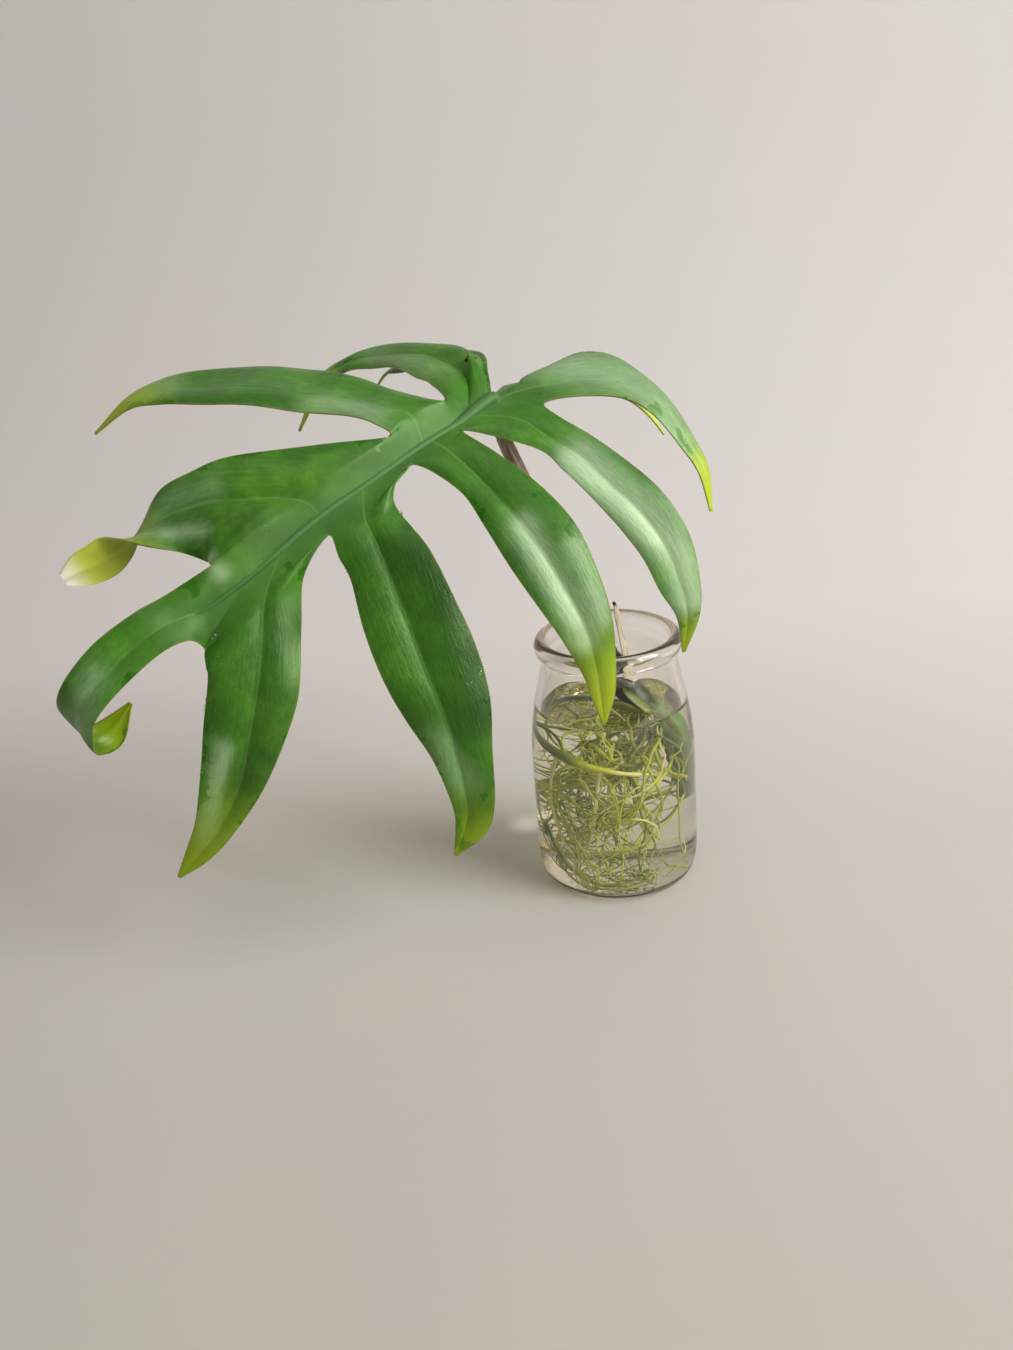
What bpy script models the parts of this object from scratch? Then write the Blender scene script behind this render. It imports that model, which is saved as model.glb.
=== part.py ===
"""A philodendron cutting that roots in a small glass jar of water.

One deeply lobed leaf on a long petiole, a short piece of stem with its roots,
a dry sheath beside it, the water and the jar. Sizes and places are in millimetres
and MM turns them to metres; +Z is up and the origin is the centre of the jar's base.
"""
import math
import random

import bmesh
import bpy
import numpy as np

MM = 0.001
GAP = 0.3                     # clearance left between two solids that touch

# Jar of pressed glass, outside and inside as (radius, height), from the axis to the lip
JAR_SIDES = 36
JAR_OUTSIDE = [(0, 0), (25.5, 0), (28.6, 1), (31.2, 4), (32.3, 9), (32.5, 14), (32.5, 58), (31.5, 68),
               (29.8, 78), (27.9, 86), (26.4, 93), (26.4, 96), (28.4, 98), (28.8, 101), (27.6, 103.4),
               (26, 104)]
JAR_INSIDE = [(0, 5.4), (22, 5.6), (27, 7), (29.2, 10), (29.8, 14), (29.8, 58), (28.8, 68),
              (27, 78), (25, 86), (23.5, 93), (23.4, 99), (23.8, 102), (24.8, 103.7)]
WATER_LEVEL = 75
MENISCUS = 0.8                # how far the water climbs at the glass

# Petiole, stem and sheath: centre lines and radii
PETIOLE = [(-35, 6, 186), (-33, 5, 179), (-28, 4, 166), (-22, 4, 150), (-16, 4, 129), (-10, 3, 115),
           (-3.5, 2, 100)]
PETIOLE_RADII = [2.6, 2.8, 3, 3.1, 3.3, 3.5, 4.2]
STEM_BELOW = [(7.5, -1, 80), (14, -3, 70), (19.5, -3, 60), (21.5, -2, 48), (21.5, -1, 34)]
STEM_RADII = [4.3, 5.5, 5.8, 5.4, 5, 4.6, 3.6]
STEM_STEPS = 20
SCAR_SWELL = 0.04             # how much thicker the stem is at its old leaf scars
STEM_RUN = 9                  # the stem runs on straight from the petiole over this length
STUB_RUN = 5                  # and the rib over this one at the petiole's upper end
SEAT = 0.35                   # between the petiole's end faces and what they meet
SHEATH_TOP = [(6.7, -3, 96.4), (5.2, -2, 105.2), (4.1, -1, 112.3), (3.2, -0.5, 116.3)]
SHEATH_SIDE = -40             # degrees round the stem from +X where the sheath leaves it
SHEATH_FEET = (86, 91)        # heights over which it hugs the stem
SHEATH_WIDTHS = [3.2, 3.6, 3.4, 2.8, 2.2, 0.9]
SHEATH_THICK = 0.9
SHEATH_CURL = 0.08            # how far its edges curl in, as a share of its width
SHEATH_OUT = 8              # from the stem's centre line to the sheath's, where it hugs the stem

# Roots: a wound tangle by rule, with one draw of numbers for all of them
SEED = 14
MAIN_ROOTS = 9
ROOTS_FROM = 74               # height where the highest main root leaves the stem
ROOTS_OVER = 12               # and how far below it the lowest one does
FIRST_ANGLE = 140             # degrees from +X of the first root; the next ones follow by the golden angle
GOLDEN_ANGLE = 137.5
ROOT_TURN = (70, 190)         # degrees that a root winds round the jar
ROOT_REST = 14                # how far above the floor's limit a root may end
ROOT_SWAY = 2.5               # how far a root strays up and down on its way
ROOT_POINTS = 7
ROOT_STEPS = 11
ROOT_TAPER = 0.55             # share of its radius that a root loses towards its tip
ROOT_RADIUS = 0.85
SIDE_ROOTS = 2                # short rootlets on each main root
SIDE_RADIUS = 0.45
SIDE_LENGTH = (7, 13)
SIDE_BEND = 3
ROOT_REACH = 25.5             # furthest a root goes from the jar's axis
ROOT_FLOOR = 8.5              # lowest a root's centre goes
PALE_ROOT = [(1.5, -1.5, 84), (-0.5, -6.5, 76), (2.8, -8, 68), (5.6, -8.5, 60), (10, -9, 51), (13, -12, 42)]
PALE_RADIUS = 0.6
WALL_ROOT = [(10, -2, 74), (-4, 7, 71), (-18, 12, 69), (-26, 1, 66), (-25.5, -9, 64), (-19, -19, 62),
             (-13, -23.5, 60.3), (-3, -26.5, 58), (6, -25, 55.5), (13, -20, 53)]
WALL_RADIUS = 1.3

# Leaf blade. The rachis is the rib that all lobes grow from, from the petiole to the last lobe.
BLADE_THICK = 0.7
LOBE_COLUMNS = 8
WEB_ROWS = 3                  # rows from the rachis to the notch between two lobes
FREE_ROWS = 12                # rows from the notch to the tip
ROW_CROWDING = 1.3            # above 1, rows lie closer together near the notch than at the tip
DOME = 0.05                   # bulge of the blade between its vein and its margin
WAVE = 0.08                   # height of the margin's waves against the half width
TIP = 0.6                     # half width left at a lobe's tip
RACHIS = [(-37, 6, 196), (-50, -3, 190), (-66, -14, 184), (-83, -24, 176), (-100, -33, 168), (-116, -41, 158),
          (-129, -46, 150)]
RIB_END = [(-139, -49, 144.5), (-149, -53, 141)]
RIB_RADII = [2.6, 2.5, 2.4, 2, 1.8, 1.6, 1.5, 1.3, 1.2, 1, 0.5]
RIB_SIDES = 8
SLIT = 0.5                    # the blade's two halves stop this far from the rachis, inside the rib

# The notches between neighbouring lobes, round the leaf from its right base lobe by its tip to its left one
NOTCHES = [(-26, 16, 199), (-18, 8, 192), (-48, -7, 188), (-67, -19, 180), (-97, -36, 162),
           (-142, -52, 131), (-136, -46, 158), (-74, -17, 190), (-54, -2, 198), (-44, 20, 210)]

# The lobes in the same order. "ring" is where a lobe's foot ends on the walk down the rachis's one side
# and up its other, counted in the rachis's points. The vein starts level with the notches. Half widths
# towards the next and the last lobe count from the second point of the vein; None is a margin that still
# runs out of its notch, and three numbers are a point of the margin itself. "across" is the blade's
# direction over the vein at its foot, middle and tip.
LOBES = [
    {"name": "back_right", "ring": 0.15,
     "vein": [(-28, 19, 196), (-14, 33, 194), (0, 43, 191), (13, 50, 186), (24, 55, 178), (32, 56, 166)],
     "next": [7, 8, 7, 5, TIP], "last": [7, 8, 7, 5, TIP],
     "across": [(-0.5, 0.85, 0.1), (0, 1, 0.1), (0.2, 0.9, 0)]},
    {"name": "right", "ring": 0.4,
     "vein": [(-24, 12, 197), (-11, 17, 197), (0, 20, 197), (11, 22, 194), (21, 22, 189), (29, 21, 182),
              (36, 18, 170), (41, 15, 160), (43, 12, 145)],
     "next": [8, 9, 9, 8, 8, 7, 5, TIP], "last": [12, 16, 16, 12, 7, 7, 5, TIP],
     "across": [(0.1, 0.9, 0.45), (0.25, 0.9, 0.35), (-0.8, 0.6, 0)]},
    {"name": "front_right", "ring": 1.1,
     "vein": [(-29, 0, 189), (-19, -4, 183), (-8, -9, 176), (2, -14, 166), (12, -18, 156), (20, -21, 144),
              (25, -22, 130), (28, -20, 116), (27, -16, 100)],
     "next": [6, 8, 8, 9, 9, 8, 4, TIP], "last": [9, 9, 11, 11, 10, 8, 5, TIP],
     "across": [(0.3, 0.7, 0.6), (0.75, 0.3, 0.5), (1, 0.1, 0)]},
    {"name": "front", "ring": 2.2,
     "vein": [(-54, -15, 183), (-45, -21, 175), (-35, -28, 164), (-25, -35, 151), (-17, -40, 136),
              (-11, -43, 122), (-8, -43, 106), (-7, -41, 95), (-6, -39, 84)],
     "next": [8, 10, 12, 11, 9, 5, 3, TIP], "last": [11, 14, 15, 13, 10, 7, 5, TIP],
     "across": [(0.55, 0.5, 0.65), (0.85, 0.2, 0.45), (1, 0, 0.1)]},
    {"name": "front_left", "ring": 3.9,
     "vein": [(-84, -33, 166), (-81, -37, 159), (-78, -41, 151), (-73, -47, 135), (-68, -52, 118),
              (-63, -55, 101), (-60, -57, 84), (-58, -57, 65), (-60, -56, 54), (-64, -54, 43)],
     "next": [None, 13, 15, 15, 13, 8, 5, 3, TIP],
     "last": [(-73.9, -28.5, 170.5), 16, 18, 19, 17, 13, 10, 8, TIP],
     "across": [(0.9, 0.1, 0.4), (1, 0, 0.1), (1, 0, 0)]},
    {"name": "left_low", "ring": 5.5,
     "vein": [(-119, -46, 147), (-121, -49, 139), (-122, -52, 131), (-125, -56, 117), (-130, -59, 100),
              (-136, -60, 82), (-146, -60, 65), (-155, -59, 55), (-164, -58, 46)],
     "next": [None, None, 17, 16, 14, 9, 5, TIP],
     "last": [(-106.5, -39.5, 150), (-109, -46, 133.5), 14, 12, 8, 5, 4, TIP],
     "across": [(0.95, -0.1, 0.15), (1, 0, 0), (1, 0, 0)]},
    {"name": "end", "ring": 6.5,
     "vein": [(-140, -49, 144), (-149, -53, 142), (-158, -58, 139), (-170, -63, 131), (-181, -66, 121),
              (-187, -62, 112), (-186, -55, 102), (-180, -50, 102), (-171, -50, 112)],
     "next": [9, 9, 10, 9, 7, 6, 5, TIP], "last": [8, 7, 7, 7, 8, 7, 6, TIP],
     "across": [(0.4, -0.35, -0.85), (0.6, -0.25, -0.75), (0.5, -0.2, -0.85)]},
    {"name": "left", "ring": 9.6,
     "vein": [(-104, -31, 173), (-114, -30, 175), (-124, -29, 175), (-133, -27, 175), (-141, -26, 174),
              (-152, -25, 171), (-162, -26, 166), (-171, -27, 161), (-178, -28, 157), (-185, -30, 155),
              (-191, -32, 153)],
     "next": [None, 17, 15, 12, 10, 7, 6, 8, 7, 2], "last": [None, None, None, 21, 15, 10, 6, 8, 7, 2],
     "across": [(0.2, -0.5, -0.85), (0.1, -0.55, -0.8), (0.1, -0.55, -0.8), (0.1, -0.5, -0.8),
                (0.35, -0.8, -0.4), (0.2, -0.5, 0.8), (0.2, -0.4, 0.9)]},
    {"name": "back_left", "ring": 10.8,
     "vein": [(-66, -9, 195), (-75, -6, 198), (-87, -2, 201), (-102, 2, 203), (-118, 6, 206), (-136, 9, 207),
              (-155, 12, 207), (-169, 13, 204), (-183, 12, 194)],
     "next": [11, 12, 15, 15, 12, 8, 4, TIP], "last": [10, 9, 9, 10, 10, 7, 4, TIP],
     "across": [(0.3, -0.85, -0.45), (0.1, -0.9, -0.42), (0.1, -0.9, -0.42)]},
    {"name": "back_middle", "ring": 11.7,
     "vein": [(-45, 14, 201), (-50, 21, 205), (-57, 29, 208), (-67, 37, 209), (-78, 44, 208), (-91, 49, 206),
              (-103, 51, 199), (-114, 50, 181)],
     "next": [11, 11, 8, 7, 5, 5, TIP], "last": [12, 12, 9, 7, 5, 5, TIP],
     "across": [(-0.8, -0.5, -0.15), (-0.35, -0.85, -0.4), (0.3, -0.9, -0.3)]},
    {"name": "back", "ring": 12,
     "vein": [(-39, 16, 203), (-41, 30, 208), (-55, 47, 206), (-69, 57, 203), (-77, 61, 199), (-83, 62, 193)],
     "next": [2, 4, 6, 4, TIP], "last": [8, 9, 8, 5, TIP],
     "across": [(-1, 0, 0), (-0.7, -0.6, -0.3), (-0.3, -0.9, -0.2)]},
]


def unit(vector):
    """The vector at length one."""
    vector = np.asarray(vector, float)
    return vector / np.linalg.norm(vector)


def smooth(points, place):
    """A point on the smooth path through the given points; place counts them from 0."""
    points = np.asarray(points, float)
    index = max(0, min(int(place), len(points) - 2))
    part = place - index
    start, end = points[index], points[index + 1]
    before = points[index - 1] if index else 2 * start - end
    after = points[index + 2] if index + 2 < len(points) else 2 * end - start
    return 0.5 * (2 * start + (end - before) * part + (2 * before - 5 * start + 4 * end - after) * part ** 2
                  + (3 * start - before - 3 * end + after) * part ** 3)


def resample(points, steps):
    """The smooth path as steps + 1 points."""
    return [smooth(points, (len(points) - 1) * i / steps) for i in range(steps + 1)]


def material(name, colour, roughness, alpha=1.0, transmission=0.0):
    """A Principled material in linear colour."""
    made = bpy.data.materials.new(name)
    made.use_nodes = True
    shader = made.node_tree.nodes["Principled BSDF"]
    shader.inputs["Base Color"].default_value = (*colour, 1)
    shader.inputs["Roughness"].default_value = roughness
    shader.inputs["Metallic"].default_value = 0
    shader.inputs["Alpha"].default_value = alpha
    shader.inputs["Transmission Weight"].default_value = transmission
    return made


def add_object(name, points, faces, finish=None):
    """A named object from points in millimetres, with its faces pointing out."""
    mesh = bpy.data.meshes.new(name)
    mesh.from_pydata([tuple(float(c) * MM for c in p) for p in points], [], faces)
    work = bmesh.new()
    work.from_mesh(mesh)
    bmesh.ops.recalc_face_normals(work, faces=work.faces)
    work.to_mesh(mesh)
    work.free()
    mesh.shade_smooth()
    mesh.set_sharp_from_angle(angle=math.radians(40))
    if finish:
        mesh.materials.append(finish)
    made = bpy.data.objects.new(name, mesh)
    bpy.context.scene.collection.objects.link(made)
    return made


def make_tool(made):
    """Marks an object as a guide that the finished model leaves out."""
    made.hide_render = True
    made.display_type = "WIRE"


def apply_modifiers(made):
    """Replaces an object's mesh by what its modifiers make of it."""
    graph = bpy.context.evaluated_depsgraph_get()
    mesh = bpy.data.meshes.new_from_object(made.evaluated_get(graph))
    made.modifiers.clear()
    made.data = mesh


def keep_largest_shell(made):
    """Drops the loose scraps and sealed hollows that a Boolean leaves, also where they touch at a corner."""
    work = bmesh.new()
    work.from_mesh(made.data)
    left = set(work.faces)
    shells = []
    while left:
        shell = {left.pop()}
        edge_of_shell = list(shell)
        while edge_of_shell:
            face = edge_of_shell.pop()
            for edge in face.edges:
                for other in edge.link_faces:
                    if other in left:
                        left.remove(other)
                        shell.add(other)
                        edge_of_shell.append(other)
        shells.append(shell)
    largest = max(shells, key=len)
    bmesh.ops.delete(work, geom=[f for f in work.faces if f not in largest], context="FACES")
    work.to_mesh(made.data)
    work.free()


def turned(name, profile, sides, finish):
    """A solid of revolution; the profile starts and ends on the axis."""
    points = [(0, 0, profile[0][1])]
    faces = []
    rings = profile[1:-1]
    for radius, height in rings:
        for k in range(sides):
            angle = 2 * math.pi * k / sides
            points.append((radius * math.cos(angle), radius * math.sin(angle), height))
    points.append((0, 0, profile[-1][1]))
    last = len(points) - 1
    for k in range(sides):
        after = (k + 1) % sides
        faces.append((0, 1 + after, 1 + k))
        top = 1 + (len(rings) - 1) * sides
        faces.append((top + k, top + after, last))
        for row in range(len(rings) - 1):
            low = 1 + row * sides
            faces.append((low + k, low + after, low + sides + after, low + sides + k))
    return add_object(name, points, faces, finish)


def frames(path):
    """Two directions across the path at each point, carried along it without a twist."""
    path = np.asarray(path, float)
    tangents = np.gradient(path, axis=0)
    side = unit(np.cross(tangents[0], (0.31, 0.87, 0.38)))
    found = []
    for tangent in tangents:
        along = unit(tangent)
        side = unit(side - (side @ along) * along)
        found.append((side, np.cross(along, side)))
    return found


def swept(path, outlines):
    """Points and faces of a solid along a path; each outline holds (side, up) pairs."""
    points = []
    faces = []
    count = len(outlines[0])
    for centre, (side, up), outline in zip(path, frames(path), outlines):
        points += [np.asarray(centre) + a * side + b * up for a, b in outline]
    for row in range(len(path) - 1):
        for k in range(count):
            after = (k + 1) % count
            a = row * count
            faces.append((a + k, a + after, a + count + after, a + count + k))
    faces.append(tuple(range(count)))
    faces.append(tuple(len(points) - count + k for k in range(count)))
    return points, faces


def tube(name, path, radii, sides, finish=None):
    """A round rod of changing radius along a path."""
    turns = [2 * math.pi * k / sides for k in range(sides)]
    outlines = [[(r * math.cos(t), r * math.sin(t)) for t in turns] for r in radii]
    points, faces = swept(path, outlines)
    return add_object(name, points, faces, finish)


def beyond(path, distance):
    """The point that lies straight on past the path's last point."""
    end, before = np.array(path[-1], float), np.array(path[-2], float)
    return end + unit(end - before) * distance


def spread(values, steps):
    """Numbers read between the given ones at steps + 1 even places."""
    places = np.linspace(0, len(values) - 1, steps + 1)
    return list(np.interp(places, range(len(values)), values))


def make_jar(glass):
    """The jar: a thick base, straight sides, a sloped shoulder and a rolled lip."""
    turned("jar", JAR_OUTSIDE + JAR_INSIDE[::-1], JAR_SIDES, glass)


def make_water(finish):
    """The water: the jar's inside up to the level, less the room of the stem and its roots."""
    walls = [(r - GAP, z + GAP) for r, z in JAR_INSIDE if 0 < r and z < WATER_LEVEL]
    radii = [r for r, z in JAR_INSIDE]
    heights = [z for r, z in JAR_INSIDE]
    edge = float(np.interp(WATER_LEVEL + MENISCUS, heights, radii)) - GAP
    profile = [(0, JAR_INSIDE[0][1] + GAP)] + walls
    profile += [(edge, WATER_LEVEL + MENISCUS), (edge - 1.2, WATER_LEVEL + 0.2), (edge - 3.5, WATER_LEVEL),
                (0, WATER_LEVEL)]
    water = turned("water", profile, JAR_SIDES, finish)
    room = make_rooted_stem("room", None, swell=GAP + 0.1)
    make_tool(room)
    cut = water.modifiers.new("room of the roots", "BOOLEAN")
    cut.operation = "DIFFERENCE"
    cut.object = room
    apply_modifiers(water)
    keep_largest_shell(water)
    bpy.data.objects.remove(room)


def stem_route():
    """The stem's centre line, straight on from the petiole and then down."""
    return [beyond(PETIOLE, SEAT), beyond(PETIOLE, STEM_RUN)] + [np.array(p, float) for p in STEM_BELOW]


def stem_path():
    """The stem's centre line and radii, with the low rings of old leaf scars."""
    path = resample(stem_route(), STEM_STEPS)
    swell = [1 + SCAR_SWELL * (-1) ** i for i in range(STEM_STEPS + 1)]
    return path, [r * s for r, s in zip(spread(STEM_RADII, STEM_STEPS), swell)]


def root_route(draw, number):
    """One main root: out of the stem, out to the glass and round it on the way down."""
    height = ROOTS_FROM - ROOTS_OVER * number / (MAIN_ROOTS - 1)
    angle = math.radians(FIRST_ANGLE + GOLDEN_ANGLE * number)
    turn = math.radians(draw.uniform(*ROOT_TURN)) * draw.choice((-1, 1))
    reach = draw.uniform(0.75, 1) * ROOT_REACH
    lowest = draw.uniform(ROOT_FLOOR, ROOT_FLOOR + ROOT_REST)
    start = np.array(stem_at(height))
    route = [start]
    for step in range(1, ROOT_POINTS + 1):
        part = step / ROOT_POINTS
        out = reach * min(1, 0.3 + 1.6 * part)
        bend = angle + turn * part ** 1.3
        fall = (height - lowest) * part ** 0.8 + 2
        home = (1 - part) * start[:2] * max(0, 1 - 2 * part)
        place = home + out * np.array((math.cos(bend), math.sin(bend)))
        place *= min(1, ROOT_REACH / np.linalg.norm(place))
        level = height - fall + draw.uniform(-ROOT_SWAY, ROOT_SWAY) * part
        route.append(np.array((*place, max(level, ROOT_FLOOR))))
    return route


def stem_at(height):
    """The stem's centre at a height."""
    upward = stem_path()[0][::-1]
    heights = [p[2] for p in upward]
    return [float(np.interp(height, heights, [p[k] for p in upward])) for k in (0, 1)] + [height]


def side_route(draw, path):
    """A rootlet from somewhere on a main root."""
    start = path[draw.randrange(len(path) // 3, len(path) - 2)]
    heading = unit((draw.uniform(-1, 1), draw.uniform(-1, 1), draw.uniform(-0.9, 0.3)))
    length = draw.uniform(*SIDE_LENGTH)
    sway = unit((draw.uniform(-1, 1), draw.uniform(-1, 1), draw.uniform(-1, 1)))
    route = [start + heading * length * t + sway * SIDE_BEND * t ** 2 for t in (0, 0.35, 0.7, 1)]
    for point in route:
        point[:2] *= min(1, ROOT_REACH / max(1e-6, np.linalg.norm(point[:2])))
        point[2] = min(max(point[2], ROOT_FLOOR), WATER_LEVEL - 5)
    return route


def root_tubes(swell):
    """Every root as a tube object, grown on all sides by swell, in one collection."""
    draw = random.Random(SEED)
    group = bpy.data.collections.new("roots")
    bpy.context.scene.collection.children.link(group)

    def place(route, radius, steps, sides):
        """Adds one root, thinner towards its tip and longer by swell."""
        path = resample(route, steps)
        path[-1] = path[-1] + unit(path[-1] - path[-2]) * swell
        radii = [radius * (1 - ROOT_TAPER * i / steps) + swell for i in range(steps + 1)]
        made = tube("root", path, radii, sides)
        bpy.context.scene.collection.objects.unlink(made)
        group.objects.link(made)
        return path

    for number in range(MAIN_ROOTS):
        path = place(root_route(draw, number), ROOT_RADIUS, ROOT_STEPS, 6)
        for _ in range(SIDE_ROOTS):
            place(side_route(draw, path), SIDE_RADIUS, 4, 5)
    place(PALE_ROOT, PALE_RADIUS, 10, 5)
    place(WALL_ROOT, WALL_RADIUS, 16, 6)
    return group


def make_rooted_stem(name, finish, swell=0.0):
    """The piece of stem with its roots grown into it, or the room that they take in the water."""
    path, radii = stem_path()
    path[-1] = path[-1] + unit(path[-1] - path[-2]) * swell
    stem = tube(name, path, [r + swell for r in radii], 14, finish)
    group = root_tubes(swell)
    union = stem.modifiers.new("roots", "BOOLEAN")
    union.operation = "UNION"
    union.operand_type = "COLLECTION"
    union.collection = group
    apply_modifiers(stem)
    keep_largest_shell(stem)
    for made in list(group.objects):
        bpy.data.objects.remove(made)
    bpy.data.collections.remove(group)
    return stem


def make_petiole(finish):
    """The leaf's stalk, slightly flattened on its upper side."""
    path = resample(PETIOLE, 20)
    radii = spread(PETIOLE_RADII, 20)
    tube("petiole", path, radii, 12, finish)


def make_sheath(finish):
    """The dry sheath: a thin curled strip that stands up from the stem's right side."""
    angle = math.radians(SHEATH_SIDE)
    foot = []
    for height in SHEATH_FEET:
        x, y, z = stem_at(height)
        foot.append((x + SHEATH_OUT * math.cos(angle), y + SHEATH_OUT * math.sin(angle), z))
    steps = 12
    path = resample(foot + SHEATH_TOP, steps)
    points = []
    faces = []
    columns = 4
    for centre, width in zip(path, spread(SHEATH_WIDTHS, steps)):
        across = np.array((-math.sin(angle), math.cos(angle), 0))
        out = np.array((math.cos(angle), math.sin(angle), 0))
        for side in (0.5, -0.5):
            for k in range(columns + 1):
                s = -1 + 2 * k / columns if side > 0 else 1 - 2 * k / columns
                rise = side * SHEATH_THICK - SHEATH_CURL * width * s * s
                points.append(np.asarray(centre) + across * s * width / 2 + out * rise)
    count = 2 * (columns + 1)
    for row in range(steps):
        for k in range(count):
            after = (k + 1) % count
            a = row * count
            faces.append((a + k, a + after, a + count + after, a + count + k))
    for first in (0, steps * count):
        for k in range(columns):
            faces.append((first + k, first + k + 1, first + count - 2 - k, first + count - 1 - k))
    add_object("sheath", points, faces, finish)


def ring_point(place):
    """A point beside the rachis: down its right side to the end at 6 and back up its left side to 12."""
    far = len(RACHIS) - 1
    down = min(place, 2 * far - place)
    centre = smooth(RACHIS, down)
    step = 0.05
    along = unit(smooth(RACHIS, min(down + step, far)) - smooth(RACHIS, max(down - step, 0)))
    right = unit(np.cross(along, (0.1, -0.5, 0.85)))
    turn = math.pi / 2 * max(-1, min(1, (place - far) / 0.5))
    return centre + SLIT * (along * math.cos(turn) - right * math.sin(turn))


def margin_point(width, sign, vein_point, across):
    """Where the margin passes a vein point, from its half width or its own place; None is not given."""
    if width is None:
        return None
    if isinstance(width, tuple):
        return np.array(width, float)
    return vein_point + sign * width * across


def lobe_curves(index):
    """The three lines that a lobe hangs on, its next margin, vein and last margin, row by row."""
    lobe = LOBES[index]
    first = LOBES[index - 1]["ring"] if index else 0
    vein = [ring_point((first + lobe["ring"]) / 2)] + [np.array(p, float) for p in lobe["vein"]]
    count = len(vein) - 1
    along = np.gradient(np.array(vein), axis=0)
    across = []
    for i in range(len(vein)):
        wanted = smooth(lobe["across"], (len(lobe["across"]) - 1) * i / count)
        forward = unit(along[i])
        across.append(unit(wanted - (wanted @ forward) * forward))
    margins = []
    for sign, widths, notch in ((-1, lobe["next"], index), (1, lobe["last"], index - 1)):
        ends = [margin_point(width, sign, vein[i + 2], across[i + 2]) for i, width in enumerate(widths)]
        if 0 <= notch < len(NOTCHES):
            start = np.array(NOTCHES[notch], float)
        else:
            start = vein[1] + sign * widths[0] * 0.8 * across[1]
        given = [i for i, end in enumerate(ends) if end is not None][0]
        for i in range(given):
            ends[i] = start + (ends[given] - start) * (i + 1) / (given + 1)
        margins.append([start] + ends)
    return vein, margins, (first, lobe["ring"])


def with_round_notches(curves):
    """Puts the neighbour's first margin point ahead of each margin, so that a notch is one round."""
    rounded = []
    for index, (vein, (next_side, last_side), ring) in enumerate(curves):
        ahead = 2 * next_side[0] - next_side[1]
        behind = 2 * last_side[0] - last_side[1]
        if index + 1 < len(curves):
            ahead = curves[index + 1][1][1][1]
        if index:
            behind = curves[index - 1][1][0][1]
        rounded.append((vein, ([ahead] + next_side, [behind] + last_side), ring))
    return rounded


def make_blade_sheet():
    """The blade's middle surface, all lobes and the webs between them, in triangles."""
    points = []
    faces = []
    known = {}

    def vertex(key, place):
        """The number of a vertex that neighbouring lobes share by its key."""
        if key not in known:
            known[key] = len(points)
            points.append(place)
        return known[key]

    half = LOBE_COLUMNS // 2
    curves = with_round_notches([lobe_curves(index) for index in range(len(LOBES))])
    for index, (vein, (next_side, last_side), (low, high)) in enumerate(curves):
        count = len(vein) - 1
        rows = []
        for row in range(WEB_ROWS + FREE_ROWS + 1):
            free = (max(0, row - WEB_ROWS) / FREE_ROWS) ** ROW_CROWDING
            place = min(1, row / WEB_ROWS) + free * (count - 1)
            middle = smooth(vein, place)
            if row <= WEB_ROWS:
                part = row / WEB_ROWS
                edges = [ring_point(high) * (1 - part) + next_side[1] * part,
                         ring_point(low) * (1 - part) + last_side[1] * part]
            else:
                edges = [smooth(next_side, place), smooth(last_side, place)]
            ahead = smooth(vein, min(count, place + 0.1)) - smooth(vein, max(0, place - 0.1))
            up = unit(np.cross(ahead, edges[1] - edges[0]))
            calm = min(1, free * 4) * min(1, (1 - free) * 4)
            line = []
            for column in range(LOBE_COLUMNS + 1):
                if row == 0:
                    foot = high + (low - high) * column / LOBE_COLUMNS
                    line.append(vertex(("ring", round(foot, 4)), ring_point(foot)))
                    continue
                side = abs(column - half) / half
                edge = edges[0] if column < half else edges[1]
                width = np.linalg.norm(edge - middle)
                lift = DOME * width * 4 * side * (1 - side)
                phase = 2.1 * index + (0 if column < half else 1.7)
                lift += WAVE * width * side ** 2 * calm * math.sin(1.9 * (place - 1) * 8 / count + phase)
                point = middle + (edge - middle) * side + up * lift
                key = (index, row, column)
                if row <= WEB_ROWS and column in (0, LOBE_COLUMNS):
                    key = ("web", index if column == 0 else index - 1, row)
                line.append(vertex(key, point))
            rows.append(line)
        for lower, upper in zip(rows, rows[1:]):
            for column in range(LOBE_COLUMNS):
                a, b, c, d = lower[column], lower[column + 1], upper[column + 1], upper[column]
                faces += [(a, b, c), (a, c, d)] if column < half else [(a, b, d), (b, c, d)]
    return points, faces


def make_leaf(finish):
    """The leaf blade with its rib, one body: the ribs' stub takes the petiole's end."""
    points, faces = make_blade_sheet()
    blade = add_object("leaf_blade", points, faces, finish)
    thick = blade.modifiers.new("thickness", "SOLIDIFY")
    thick.thickness = BLADE_THICK * MM
    thick.offset = 0
    upward = PETIOLE[::-1]
    route = [beyond(upward, SEAT), beyond(upward, STUB_RUN)] + RACHIS + RIB_END
    steps = 4 * (len(route) - 1)
    rib = tube("rib", resample(route, steps), spread(RIB_RADII, steps), RIB_SIDES)
    make_tool(rib)
    union = blade.modifiers.new("rib", "BOOLEAN")
    union.operation = "UNION"
    union.solver = "MANIFOLD"
    union.object = rib
    apply_modifiers(blade)
    keep_largest_shell(blade)
    bpy.data.objects.remove(rib)


def main():
    """Clears the scene and builds every piece."""
    for made in list(bpy.data.objects):
        bpy.data.objects.remove(made)
    make_jar(material("clear glass", (0.92, 0.93, 0.9), 0.03, 0.3, 1.0))
    make_water(material("water", (0.85, 0.9, 0.8), 0.02, 0.3, 1.0))
    make_rooted_stem("stem_with_roots", material("stem and roots", (0.27, 0.3, 0.08), 0.55))
    make_petiole(material("petiole", (0.16, 0.11, 0.08), 0.45))
    make_sheath(material("dry sheath", (0.75, 0.66, 0.45), 0.8))
    make_leaf(material("leaf", (0.06, 0.18, 0.03), 0.35))


main()
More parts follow.
